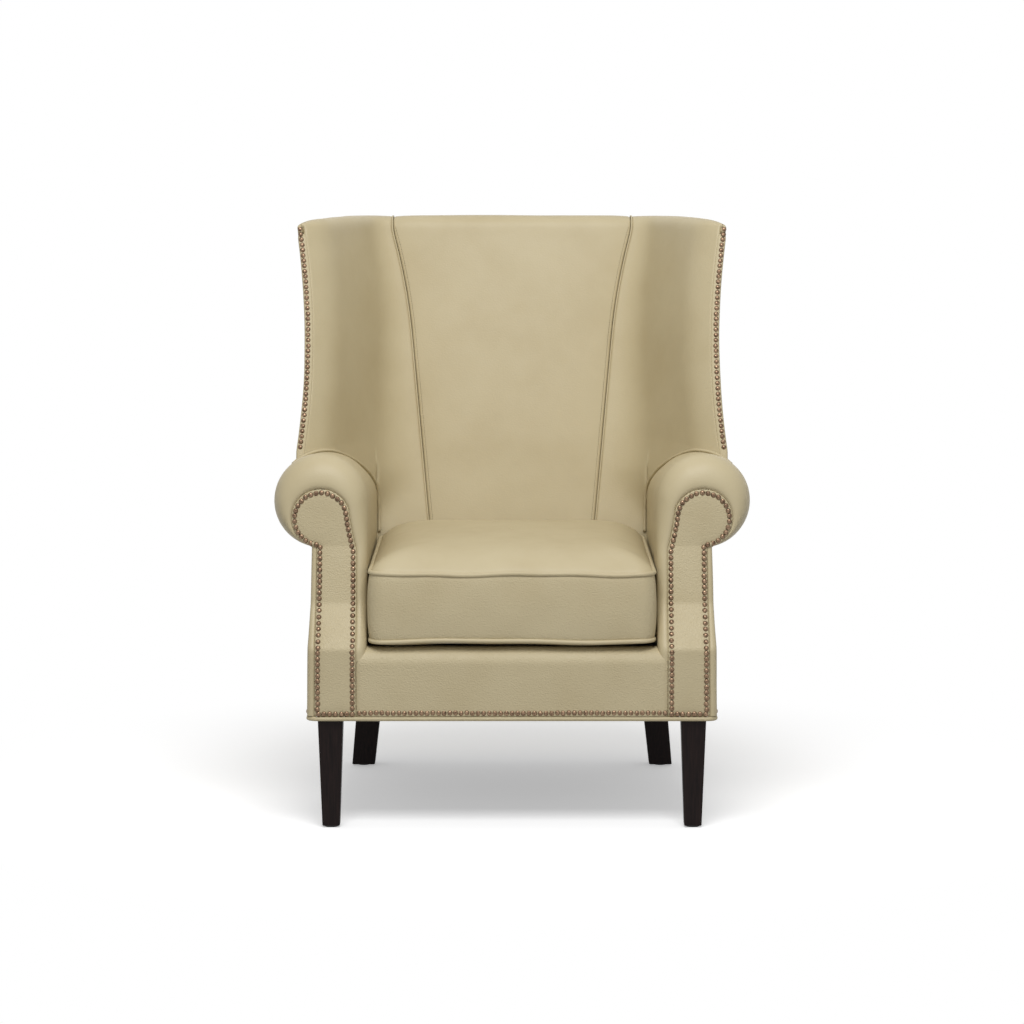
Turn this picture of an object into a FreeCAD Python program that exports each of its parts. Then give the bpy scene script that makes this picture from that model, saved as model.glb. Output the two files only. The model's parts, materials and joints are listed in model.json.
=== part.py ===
import FreeCAD, Part
import math
import os
import Sketcher
from FreeCAD import Placement, Rotation, Vector

# Wingback armchair, in millimetres. While it is drawn, X runs across the chair, Y runs back from the
# front face of the base and Z runs up from the floor. Left is the side of -X. At the end every
# sub-part is moved forward by half the depth, so the origin lies under the middle of the chair.

doc = FreeCAD.newDocument("wingback_armchair")
sheet = doc.addObject("Spreadsheet::Sheet", "Sizes")

DIMENSIONS = [
    ("origin_behind_front", 402.0, "distance from the base's front face to the origin"),
    ("base_bottom", 208, "underside of the frame"),
    ("base_half_width", 375, "half the width of the base at its front"),
    ("side_taper", 0.06, "how much a side draws in for each millimetre back"),
    ("side_lean", 0.01, "how much a side leans in for each millimetre up"),
    ("back_foot", 700, "outside back's distance from the front at the base"),
    ("back_lean_out", 0.125, "lean of the outside back"),
    ("rear_corner", 65, "radius of the rear corners in plan"),
    ("cover", 4, "thickness of a leather panel with its lining"),
    ("gap", 0.3, "gap between pieces that only touch"),
    ("seam", 265, "half the width of the outside back panel"),
    ("deck_top", 333, "top of the deck under the cushion"),
    ("rail_top", 318, "top of the seat rails"),
    ("rail", 25, "thickness of a rail"),
    ("border", 11, "thickness of the padded front border"),
    ("facing_inner", 285, "inner edge of the arm facing"),
    ("facing_outer", 361, "outer edge of the arm facing"),
    ("facing", 10, "thickness of the arm facing"),
    ("scroll_across", 350.5, "centre of the facing's scroll from the middle"),
    ("scroll_height", 564, "centre of the facing's scroll above the floor"),
    ("scroll", 54, "radius of the facing's scroll"),
    ("facing_back", 72, "facing's distance from the front above its slope"),
    ("post_back", 110, "back of the front post"),
    ("roll", 86, "radius of the arm roll"),
    ("roll_height", 592, "centre of the arm roll just behind its front end"),
    ("roll_front", 125, "distance back at which the roll is full"),
    ("roll_slope", 0.1, "fall of the arm towards the back"),
    ("roll_end", 690, "where the roll dies into the rear corner"),
    ("roll_end_radius", 30, "radius of the roll there"),
    ("arm_inner", 266, "inner face of the arm from the middle"),
    ("arm_pad", 35, "thickness of the inner arm pad"),
    ("inside_back", 558.5, "inside back's distance from the front at the seat"),
    ("inside_lean", 0.2586, "lean of the inside back"),
    ("lean_start", 470, "height at which the inside back starts to lean"),
    ("post_inner", 288.3, "inner side of a back post from the middle"),
    ("post_head", 1044, "top of the back posts"),
    ("back_pad", 45, "thickness of the inside back"),
    ("wing_pad", 24, "thickness of the inside wing"),
    ("top_height", 1083.5, "height of the middle of the top edge"),
    ("top_tilt", -0.028, "fall of the top edge towards the wing tips, less than 0 where it rises"),
    ("wing_edge_low", 409, "wing edge from the middle at the arm"),
    ("wing_edge_bow", 15, "how far the wing edge bows in at mid height"),
    ("wing_front", 330, "wing edge's distance from the front at the arm"),
    ("wing_arm", 660, "height at which the wing edge leaves the arm"),
    ("wing_lean", 0.297, "lean of the wing edge"),
    ("welt_seat", 163, "back welt from the middle at the seat"),
    ("welt_slope", 0.096, "how far the back welts spread for each millimetre up"),
    ("welt_flare", 25, "their further spread near the top"),
    ("welt_radius", 3.2, "radius of the back and arm welts"),
    ("edge_welt", 4.2, "radius of the base and cushion welts"),
    ("cushion_half", 259.5, "half the width of the cushion at its front seam"),
    ("cushion_front", 2.5, "front seam of the cushion from the front"),
    ("cushion_rear", 541, "rear seam of the cushion from the front"),
    ("cushion_front_corner", 30, "radius of the cushion's front corners in plan"),
    ("cushion_rear_corner", 45, "radius of its rear corners"),
    ("cushion_low_seam", 348, "height of the lower seam"),
    ("cushion_high_seam", 471, "height of the upper seam"),
    ("cushion_crown", 33, "rise of the cushion's crown above its upper seam"),
    ("cushion_cover", 6, "thickness of the cushion's leather and wrap"),
    ("front_leg_top", 46.5, "width of a front leg at the base"),
    ("front_leg_foot", 32, "width of a front leg at the floor"),
    ("front_leg_across", 332, "front leg's centre from the middle"),
    ("front_leg_back", 31, "front leg's centre from the front"),
    ("rear_leg_top", 50, "width of a rear leg at the base"),
    ("rear_leg_foot", 45, "width of a rear leg at the floor"),
    ("rear_leg_across", 274, "rear leg's centre from the middle at the base"),
    ("rear_leg_splay", 21, "how far its foot stands out"),
    ("rear_leg_back", 602, "rear leg's centre from the front at the base"),
    ("rear_leg_rake", 32, "how far its foot stands back"),
    ("glide", 3, "thickness of a leg glide"),
    ("nail_head", 4.8, "radius of a nail's head"),
    ("nail_rise", 2.8, "height of a nail's dome"),
    ("nail_pitch", 10.3, "distance between nails"),
    ("spring_wire", 1.9, "radius of the spring wire"),
]
for row, (alias, value, note) in enumerate(DIMENSIONS, start=1):
    sheet.set("A%d" % row, note)
    sheet.set("B%d" % row, str(value))
    sheet.setAlias("B%d" % row, alias)
doc.recompute()


def size(alias):
    return float(sheet.get(alias))


GAP = size("gap")
COVER = size("cover")
SIDES = (("left", -1), ("right", 1))
parts = {}


def keep(label, thing):
    """Names an object as a sub-part and sets it in the chair's own frame."""
    thing.Label = label
    thing.setExpression("Placement.Base.y", "-Sizes.origin_behind_front")
    parts[label] = thing
    return thing


def keep_shape(label, shape):
    """A free form, which neither a body nor a primitive can hold."""
    thing = doc.addObject("Part::Feature", label)
    thing.Label = label
    thing.Shape = shape
    thing.Placement = Placement(Vector(0, -size("origin_behind_front"), 0), Rotation())
    parts[label] = thing
    return thing


def mirrored(shape, side):
    """The shape as drawn on the right, or its mirror image on the left."""
    if side > 0:
        return shape
    return shape.mirror(Vector(0, 0, 0), Vector(1, 0, 0))


# Sketched pieces

def plane_of(body, role):
    return next(part for part in body.Origin.OriginFeatures if part.Role == role)


def outline(body, role, corners, offset):
    """A closed sketch of straight lines whose corners are bound to the sheet."""
    sketch = body.newObject("Sketcher::SketchObject", body.Name + "_outline")
    sketch.AttachmentSupport = [(plane_of(body, role), "")]
    sketch.MapMode = "FlatFace"
    sketch.setExpression("AttachmentOffset.Base.z", offset)
    places = [[float(sheet.evalExpression(word)) for word in corner] for corner in corners]
    count = len(corners)
    for index in range(count):
        start = Vector(*places[index], 0)
        end = Vector(*places[(index + 1) % count], 0)
        sketch.addGeometry(Part.LineSegment(start, end), False)
    for index in range(count):
        after = (index + 1) % count
        sketch.addConstraint(Sketcher.Constraint("Coincident", index, 2, after, 1))
    for index, corner in enumerate(corners):
        for kind, word, place in zip(("DistanceX", "DistanceY"), corner, places[index]):
            number = sketch.addConstraint(Sketcher.Constraint(kind, -1, 1, index, 1, place))
            sketch.setExpression("Constraints[%d]" % number, word)
    return sketch


def board(label, role, corners, start, thickness):
    """A body with one pad. A board drawn on the XZ plane grows back from its start."""
    body = doc.addObject("PartDesign::Body", label)
    backwards = role == "XZ_Plane"
    offset = "-(%s)" % start if backwards else start
    sketch = outline(body, role, corners, offset)
    pad = body.newObject("PartDesign::Pad", label + "_pad")
    pad.Profile = sketch
    pad.Reversed = backwards
    pad.setExpression("Length", thickness)
    return keep(label, body)


def taper(label, role, lower, lower_at, upper, upper_at):
    """A body with one loft between two outlines."""
    body = doc.addObject("PartDesign::Body", label)
    first = outline(body, role, lower, lower_at)
    second = outline(body, role, upper, upper_at)
    loft = body.newObject("PartDesign::AdditiveLoft", label + "_loft")
    loft.Profile = first
    loft.Sections = [second]
    return keep(label, body)


def rectangle(low_x, high_x, low_y, high_y):
    return [(low_x, low_y), (high_x, low_y), (high_x, high_y), (low_x, high_y)]


def across(side, near, far):
    """The two ends of a span given by distances from the middle, lowest first."""
    if side > 0:
        return near, far
    return "-(%s)" % far, "-(%s)" % near


# Plan outlines with rounded corners

def rounded(points, radii, lift):
    """Edges along a path of points whose inner corners are tangent arcs. Lift gives the height."""
    edges = []
    last = points[0]
    for corner, after, radius in zip(points[1:-1], points[2:], radii):
        before = last
        into = unit(before, corner)
        out = unit(corner, after)
        turn = math.acos(max(-1.0, min(1.0, into[0] * out[0] + into[1] * out[1])))
        if radius <= 0 or turn < 1e-6:
            edges.append(line(before, corner, lift))
            last = corner
            continue
        run = radius * math.tan(turn / 2)
        start = (corner[0] - into[0] * run, corner[1] - into[1] * run)
        end = (corner[0] + out[0] * run, corner[1] + out[1] * run)
        inward = (out[0] - into[0], out[1] - into[1])
        length = math.hypot(*inward)
        depth = radius / math.cos(turn / 2) - radius
        middle = (corner[0] + inward[0] / length * depth, corner[1] + inward[1] / length * depth)
        if math.dist(before, start) > 1e-4:
            edges.append(line(before, start, lift))
        edges.append(Part.Arc(raised(start, lift), raised(middle, lift), raised(end, lift)).toShape())
        last = end
    if math.dist(last, points[-1]) > 1e-4:
        edges.append(line(last, points[-1], lift))
    return edges


def unit(start, end):
    length = math.dist(start, end)
    return (end[0] - start[0]) / length, (end[1] - start[1]) / length


def raised(point, lift):
    return Vector(point[0], point[1], lift(point))


def line(start, end, lift):
    return Part.LineSegment(raised(start, lift), raised(end, lift)).toShape()


def offset_path(points, distance):
    """The path moved to its left by a distance, with mitred corners."""
    moved = []
    for index, point in enumerate(points):
        into = unit(points[index - 1], point) if index else None
        out = unit(point, points[index + 1]) if index < len(points) - 1 else None
        into = into or out
        out = out or into
        normal = (-into[1] - out[1], into[0] + out[0])
        length = math.hypot(*normal)
        reach = distance * 2 / length / length
        moved.append((point[0] + normal[0] * reach, point[1] + normal[1] * reach))
    return moved


def turns_left(points):
    signs = []
    for before, corner, after in zip(points, points[1:], points[2:]):
        into = unit(before, corner)
        out = unit(corner, after)
        signs.append(1 if into[0] * out[1] - into[1] * out[0] > 0 else -1)
    return signs


def band(points, radii, thickness, lift):
    """A closed strip along a path: the path itself and its copy to the left."""
    inner = offset_path(points, thickness)
    inner_radii = [max(0.5, r - thickness * s) if r else 0 for r, s in zip(radii, turns_left(points))]
    out = rounded(points, radii, lift)
    back = rounded(inner[::-1], inner_radii[::-1], lift)
    caps = [line(points[-1], inner[-1], lift), line(inner[0], points[0], lift)]
    return Part.Wire(out + [caps[0]] + back + [caps[1]])


def ring(points, radii, lift):
    """A closed outline with every corner rounded, started in the middle of its first side."""
    start = ((points[0][0] + points[-1][0]) / 2, (points[0][1] + points[-1][1]) / 2)
    return Part.Wire(rounded([start] + points + [start], radii, lift))


def flat(height):
    return lambda point: height


def polygon(points):
    return Part.Face(Part.makePolygon(points + [points[0]]))


def tube(centres, radius, steady):
    """A welt: round sections along a line of points, lofted. Steady is a direction off its path."""
    rings = []
    for index, centre in enumerate(centres):
        before = centres[max(0, index - 1)]
        after = centres[min(len(centres) - 1, index + 1)]
        along = (after - before).normalize()
        first = (steady - along * steady.dot(along)).normalize() * radius
        second = along.cross(first.normalize()) * radius
        first = first.normalize() * radius
        spokes = [first, second, first * -1, second * -1, first]
        arcs = []
        for start, end in zip(spokes, spokes[1:]):
            middle = (start + end).normalize() * radius
            arcs.append(Part.Arc(centre + start, centre + middle, centre + end).toShape())
        rings.append(Part.Wire(arcs))
    return Part.makeLoft(rings, True, False)


def loop_tube(path, radius):
    """A welt round a closed flat path."""
    wire = Part.Wire(path)
    edge = wire.OrderedEdges[0]
    start = edge.valueAt(edge.FirstParameter)
    along = edge.tangentAt(edge.FirstParameter)
    circle = Part.Wire(Part.makeCircle(radius, start, along))
    return wire.makePipeShell([circle], True, False)


# The chair's main surfaces

def outside_back(height):
    return size("back_foot") + size("back_lean_out") * (height - size("base_bottom"))


def inside_back(height):
    return size("inside_back") + size("inside_lean") * max(0.0, height - size("lean_start"))


def side_face(back, height):
    lean = size("side_lean") * (height - size("base_bottom"))
    return size("base_half_width") - size("side_taper") * back - lean


def welt_across(height):
    above = height - 495.0
    flare = max(0.0, (height - 850.0) / 236.0)
    return size("welt_seat") + size("welt_slope") * above + size("welt_flare") * flare * flare


def wing_edge(height):
    """The outermost line of the wing: its distance from the middle and from the front."""
    span = size("top_height") - 15 - size("wing_arm")
    share = max(0.0, (height - size("wing_arm")) / span)
    bow = size("wing_edge_bow") * 4 * share * (1 - share)
    outward = size("wing_edge_low") + 4 * share * share - bow
    return outward, size("wing_front") + size("wing_lean") * (height - size("wing_arm"))


def eased(share):
    """A share held between 0 and 1, with soft ends."""
    share = max(0.0, min(1.0, share))
    return share * share * (3 - 2 * share)


def level(height):
    """The tilted plane of a level, most of all at the top."""
    share = max(0.0, (height - 600.0) / (size("top_height") - 600.0))
    tilt = size("top_tilt") * share
    return lambda point: height - tilt * (735.0 - point[1])


def wing_path(height, inset=0.0):
    """The seat side of the right wing in plan, from the back welt to the nail strip."""
    across_welt = welt_across(height)
    back = inside_back(height) + inset
    edge, front = wing_edge(height)
    low = eased((610.0 - height) / 120.0)
    root = 77 - 0.08 * (height - 480) + 36 * low
    points = [
        (across_welt + 1.8, back),
        (across_welt + root, back),
        (edge - 55 - inset, front + 30 + 0.6 * inset),
        (edge - 16 - 1.5 * inset, front - 2 + inset),
    ]
    turn = math.acos(sum(a * b for a, b in zip(unit(*points[:2]), unit(*points[1:3]))))
    return points, [(0.9 - 0.76 * low) * (root - 1.8) / math.tan(turn / 2), 100.0 - 2 * inset]


def shell_path(height, inset=0.0):
    """The outside of the right wing and rear corner in plan, from the wing edge to the back seam."""
    edge, front = wing_edge(height)
    back = outside_back(height) - inset
    side = side_face(back, 520) + 0.012 * (height - 520)
    corner = (side - inset, back)
    return [(edge - 0.35 * inset, front), corner, (size("seam") + GAP / 2, back)], [size("rear_corner")]


def facing_front(height):
    """How far back the arm's front face stands at a height."""
    top = size("facing_back")
    if height > 514:
        return top
    if height > 410:
        return top - 20 * (514 - height) / 104
    if height > size("deck_top"):
        return 52 * (height - size("deck_top")) / (410 - size("deck_top"))
    return 0.0


def roll_at(back):
    """The arm roll at a distance back: its centre's place across, its height and its radius."""
    full = size("roll_front")
    start = size("facing_back") + 2
    height = size("roll_height") - size("roll_slope") * (back - full)
    radius = size("roll")
    inner = size("arm_inner")
    if back < full:
        ease = math.sqrt(max(0.0, 1 - ((full - back) / (full - start)) ** 2))
        radius = size("scroll") + GAP + (size("roll") - size("scroll") - GAP) * ease
        centre = size("scroll_across") + (inner + size("roll") - size("scroll_across")) * ease
        low = size("scroll_height") - size("scroll")
        return centre, low + (size("roll_height") - size("roll") - low) * ease + radius, radius
    if back > 370:
        share = (back - 370) / (size("roll_end") - 370)
        radius -= (size("roll") - size("roll_end_radius")) * share ** 1.3
    return inner - 1.5 * (back - full) / 500 + radius, height, radius


# Seat frame

def build_seat_frame():
    board("front_seat_rail", "XZ_Plane",
          rectangle("-(Sizes.facing_inner + 1)", "Sizes.facing_inner + 1",
                    "Sizes.base_bottom", "Sizes.rail_top"),
          "Sizes.border + 1", "Sizes.rail")
    board("rear_seat_rail", "XZ_Plane",
          rectangle("-(Sizes.seam + 5)", "Sizes.seam + 5", "Sizes.base_bottom", "Sizes.rail_top"),
          "Sizes.back_foot - Sizes.cover - 2 - Sizes.rail", "Sizes.rail")
    for name, side in SIDES:
        sign = "%d * " % side
        outer = "(Sizes.base_half_width - 8 - Sizes.side_taper * (%s))"
        front = "Sizes.post_back + Sizes.gap"
        rear = "Sizes.inside_back + Sizes.back_pad + 2"
        corners = [
            (sign + outer % front, front),
            (sign + outer % rear, rear),
            (sign + "(%s - Sizes.rail)" % (outer % rear), rear),
            (sign + "(%s - Sizes.rail)" % (outer % front), front),
        ]
        board(name + "_seat_rail", "XY_Plane", corners,
              "Sizes.base_bottom", "Sizes.rail_top - Sizes.base_bottom")


def build_corner_blocks():
    """Glue blocks in the corners: two behind the front rail, two on the rear rail over the legs."""
    blocks = []
    height = size("rail_top") - size("base_bottom") - 45
    rail_back = size("border") + 1 + size("rail") + GAP
    rear = size("back_foot") - COVER - 2 - size("rail") - GAP
    inner = size("facing_inner") + 1
    for name, side in SIDES:
        front_block = polygon([
            Vector(side * inner, rail_back, size("base_bottom")),
            Vector(side * (inner - 72), rail_back, size("base_bottom")),
            Vector(side * inner, rail_back + 72, size("base_bottom")),
        ])
        rear_block = polygon([
            Vector(side * 287, rear, size("base_bottom")),
            Vector(side * 225, rear, size("base_bottom")),
            Vector(side * 245, rear - 105, size("base_bottom")),
            Vector(side * 287, rear - 105, size("base_bottom")),
        ])
        blocks.append(front_block.extrude(Vector(0, 0, height)))
        blocks.append(rear_block.extrude(Vector(0, 0, height)))
    keep_shape("corner_blocks", Part.makeCompound(blocks))


# Arms

def keyhole(inset):
    """The facing's outline on the right arm: two straight sides under a scroll with a notch."""
    centre = Vector(size("scroll_across"), 0, size("scroll_height"))
    radius = size("scroll") - inset
    inner = size("facing_inner") + inset
    outer = size("facing_outer") - inset
    bottom = size("base_bottom") + 1.3 + 0.8 * inset
    notch_angle = math.radians(-78)

    def on_scroll(angle):
        return centre + Vector(radius * math.cos(angle), 0, radius * math.sin(angle))

    notch = on_scroll(notch_angle)
    leave = math.radians(162)
    flow = on_scroll(leave)
    foot = Vector(inner, 0, 505)
    bend = Vector((flow.x + foot.x) / 2 - 2.2, 0, (flow.z + foot.z) / 2)
    bend.x += 3.6
    edges = [
        Part.LineSegment(Vector(inner, 0, bottom), Vector(outer, 0, bottom)).toShape(),
        Part.LineSegment(Vector(outer, 0, bottom), Vector(outer - 3.5, 0, notch.z - 2)).toShape(),
        Part.LineSegment(Vector(outer - 3.5, 0, notch.z - 2), notch).toShape(),
        Part.Arc(notch, on_scroll(0), on_scroll(math.radians(60))).toShape(),
        Part.Arc(on_scroll(math.radians(60)), on_scroll(math.radians(110)), flow).toShape(),
        Part.Arc(flow, bend, foot).toShape(),
        Part.LineSegment(foot, Vector(inner, 0, bottom)).toShape(),
    ]
    return Part.Face(Part.Wire(edges))


def profile_slab(near, far, back=None):
    """The space between the arm's front face moved back by near, and by far or a fixed plane."""
    heights = [size("base_bottom") - 5, size("deck_top"), 410, 514, 720]
    front = [Vector(0, facing_front(z) + near, z) for z in heights]
    rear = [Vector(0, facing_front(z) + far if back is None else back, z) for z in heights]
    return polygon(front + rear[::-1]).extrude(Vector(600, 0, 0))


def roll_solid(grow=0.0):
    """The padded roll as round sections along the arm."""
    start = size("facing_back") + 2
    places = [start, start + 3, start + 10, start + 24, size("roll_front"), 200, 290, 370, 450, 530,
              610, size("roll_end")]
    rings = []
    for back in places:
        centre, height, radius = roll_at(back)
        middle = Vector(centre, back, height)
        rings.append(Part.Wire(Part.makeCircle(radius + grow, middle, Vector(0, 1, 0))))
    return Part.makeLoft(rings, True, False)


def arm_stem():
    """The padded inner face of the arm, rounded at its front edge."""
    wires = []
    top = size("roll_height") - 25
    for height in (size("deck_top") + GAP, 410, 514, top):
        front = facing_front(height) + (28 if height == top else 0)
        inner = size("arm_inner")
        edge = size("facing_inner") + GAP
        back = size("post_back") + GAP
        points = [(edge, back), (edge, front + 1), (inner, front + 6), (inner - 2.5, 590),
                  (inner - 2.5 + size("arm_pad"), 590), (inner + size("arm_pad"), back), (edge, back)]
        wires.append(Part.Wire(rounded(points, [0, 12, 0, 0, 0], flat(height))))
    return Part.makeLoft(wires, True, True)


def build_arms():
    roll = roll_solid()
    stem = arm_stem()
    facing = keyhole(0).extrude(Vector(0, 300, 0)).common(profile_slab(0, size("facing")))

    post_space = profile_slab(size("facing"), 0, size("post_back"))
    post = keyhole(3).extrude(Vector(0, 300, 0)).common(post_space)
    filler = keyhole(0).extrude(Vector(0, 300, 0)).common(post_space)
    rail = arm_rail_shape()
    behind = Part.makeBox(size("post_inner") + 24.3 - 200, 200, 900, Vector(200, 604, 200))
    pad = roll.fuse(stem).cut([facing, filler, behind, rail, wing_board_shape()])
    pad = biggest(pad)
    for name, side in SIDES:
        keep_shape(name + "_arm_facing", mirrored(facing, side))
        keep_shape(name + "_front_post", mirrored(post, side))
        keep_shape(name + "_arm_pad", mirrored(pad, side))
        low, high = across(side, "316", "396")
        rear_low, rear_high = across(side, "296", "346")
        taper(name + "_arm_rail", "XZ_Plane",
              rectangle(low, high, "580", "604"), "-(Sizes.post_back + Sizes.gap)",
              rectangle(rear_low, rear_high, "534", "558"), "-600")
    return roll_solid(GAP), pad


def arm_rail_shape():
    first = Part.makePolygon([Vector(x, size("post_back") + GAP, z) for x, z in
                              ((316, 580), (396, 580), (396, 604), (316, 604), (316, 580))])
    second = Part.makePolygon([Vector(x, 600, z) for x, z in
                               ((296, 534), (346, 534), (346, 558), (296, 558), (296, 534))])
    return Part.makeLoft([first, second], True, True)


def biggest(shape):
    return max(shape.Solids, key=lambda solid: solid.Volume)


def build_front_border():
    """The padded panel on the front rail, with its rounded top edge lapped over the rail."""
    top = size("deck_top")
    thick = size("border")
    bottom = size("base_bottom") + 1.3
    under = size("rail_top") + 6.3
    corner = 28.0
    half = size("facing_inner") - GAP
    turn = corner * (1 - math.sqrt(0.5))

    def place(back, height):
        return Vector(-half, back, height)

    points = [place(0, top - corner), place(0, bottom), place(thick, bottom), place(thick, under),
              place(45, under), place(45, top), place(corner, top)]
    edges = [Part.LineSegment(a, b).toShape() for a, b in zip(points, points[1:])]
    edges.append(Part.Arc(points[-1], place(turn, top - turn), points[0]).toShape())
    keep_shape("front_border", Part.Face(Part.Wire(edges)).extrude(Vector(2 * half, 0, 0)))


# Back and wings

RIM = size("top_height") - 25
CREST = RIM - 11


def crest_steps():
    """Heights of the padded crest and how far its faces are drawn in there."""
    top = size("top_height")
    return (RIM + GAP, 0), (top - 14, 3), (top - 5, 10), (top, 24)


def centre_section(height, front_inset=0.0, depth=None):
    half = welt_across(height) - 1.8
    front = inside_back(height) + front_inset
    rear = front + size("back_pad") if depth is None else depth
    bulge = 8.0 * min(1.0, max(0.0, (height - 480) / 170.0))
    lift = level(height)
    ends = [(-half, front), (half, front), (half, rear), (-half, rear)]
    arc = Part.Arc(raised(ends[0], lift), raised((0, front - max(bulge, 0.01)), lift),
                   raised(ends[1], lift)).toShape()
    sides = [line(a, b, lift) for a, b in zip(ends[1:], ends[2:] + ends[:1])]
    return Part.Wire([arc] + sides)


def build_inside_back():
    lean_start = size("lean_start")
    foot = Part.makeLoft([centre_section(z) for z in (size("deck_top") + GAP, lean_start)], True, True)
    heights = (lean_start, 500, 600, 700, 800, 900, 980, CREST)
    main = Part.makeLoft([centre_section(z) for z in heights], True, False)
    inner = Part.makeLoft([centre_section(z, 0, outside_back(z) - COVER - 0.5)
                           for z in (CREST, RIM + GAP)], True, True)
    crest = Part.makeLoft([centre_section(z, inset, outside_back(z) - inset)
                           for z, inset in crest_steps()], True, False)
    keep_shape("inside_back_panel", main.fuse([foot, inner, crest]).removeSplitter())


def wing_section(height):
    """The padded inside of the right wing with the strip that carries its nails."""
    points, radii = wing_path(height)
    edge, front = wing_edge(height)
    lift = level(height)
    outer = offset_path(points, size("wing_pad"))
    strip = [points[-1], (edge - 15.5, front), (edge - COVER - 1.5, front), (edge - 9, front + 10)]
    face = rounded(points, radii, lift)
    tip = [line(a, b, lift) for a, b in zip(strip, strip[1:])]
    turned = [strip[-1], outer[2], outer[1], outer[0]]
    back = rounded(turned, [radii[1], radii[0]], lift)
    return Part.Wire(face + tip + back + [line(outer[0], points[0], lift)])


def crest_section(height, outer_inset, inset):
    """The whole thickness of the right wing, from its seat side to its outside."""
    points, radii = wing_path(height, inset)
    edge, front = wing_edge(height)
    lift = level(height)
    outside, corner = shell_path(height, outer_inset + inset)
    outside = [outside[0], outside[1], (points[0][0], outside[1][1])]
    outside[0] = (edge - outer_inset - 1.6 * inset, front + inset)
    face = rounded(points, radii, lift)
    tip = [line(points[-1], outside[0], lift)]
    back = rounded(outside, [corner[0] - outer_inset], lift)
    return Part.Wire(face + tip + back + [line(outside[-1], points[0], lift)])


def build_wings(roll):
    lean_start = size("lean_start")
    foot = Part.makeLoft([wing_section(z) for z in (size("deck_top") + 2, lean_start)], True, True)
    heights = (lean_start, 490, 520, 550, 580, 610, 650, 720, 800, 880, 960, 1010, CREST)
    main = Part.makeLoft([wing_section(z) for z in heights], True, False)
    lower = Part.makeLoft([crest_section(z, COVER + 0.6, 0) for z in (CREST, RIM + GAP)], True, True)
    crest = Part.makeLoft([crest_section(z, 0, inset) for z, inset in crest_steps()], True, False)
    arm_space = Part.makeBox(200, 700, 280, Vector(size("arm_inner") - 2.9, 0, 290))
    stand = wing_board_shape()
    pad = biggest(main.fuse(foot).cut([roll, arm_space, stand]))
    pad = biggest(pad.fuse([lower, crest]))
    for name, side in SIDES:
        keep_shape(name + "_inside_wing", mirrored(pad, side))


def wing_board_shape():
    """The upright board at the wing's front edge, in plan sections."""
    wires = []
    for height in (585, 690, 800, 910, 1015):
        edge, front = wing_edge(height)
        corners = [(-14, 21), (-34, 46), (-47, 80), (-26, 80), (-11, 21)]
        ring_points = [Vector(edge + x, front + y, height) for x, y in corners]
        wires.append(Part.makePolygon(ring_points + ring_points[:1]))
    return Part.makeLoft(wires, True, True)


def build_outside_covers(roll):
    wing = Part.makeLoft([band(*shell_path(z), COVER, level(z))
                          for z in (520, 600, 680, 760, 840, 920, 1000, RIM)], True, False)
    wing = biggest(wing.cut(roll))
    arm_wires = []
    for height in (size("base_bottom") + 1.3, size("deck_top"), 410, 519.7):
        front = facing_front(height)
        rear = outside_back(height)
        start = (size("facing_outer") + GAP - 3.5 * (height - 208) / 312, front + 0.5)
        points = [start, (side_face(front, height), front + 0.5), (side_face(rear, height), rear),
                  (size("seam") + GAP / 2, rear)]
        turn = 0.8 * (points[1][0] - points[0][0])
        arm_wires.append(band(points, [turn, size("rear_corner")], COVER, flat(height)))
    under_scroll = size("scroll_height") - size("scroll") - GAP
    scroll = Part.makeBox(80, size("facing_back") + size("facing") + GAP, 20, Vector(340, 0, under_scroll))
    arm = biggest(Part.makeLoft(arm_wires, True, True).cut([roll, scroll]))
    for name, side in SIDES:
        keep_shape(name + "_outside_wing_cover", mirrored(wing, side))
        keep_shape(name + "_outside_arm_cover", mirrored(arm, side))


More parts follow.
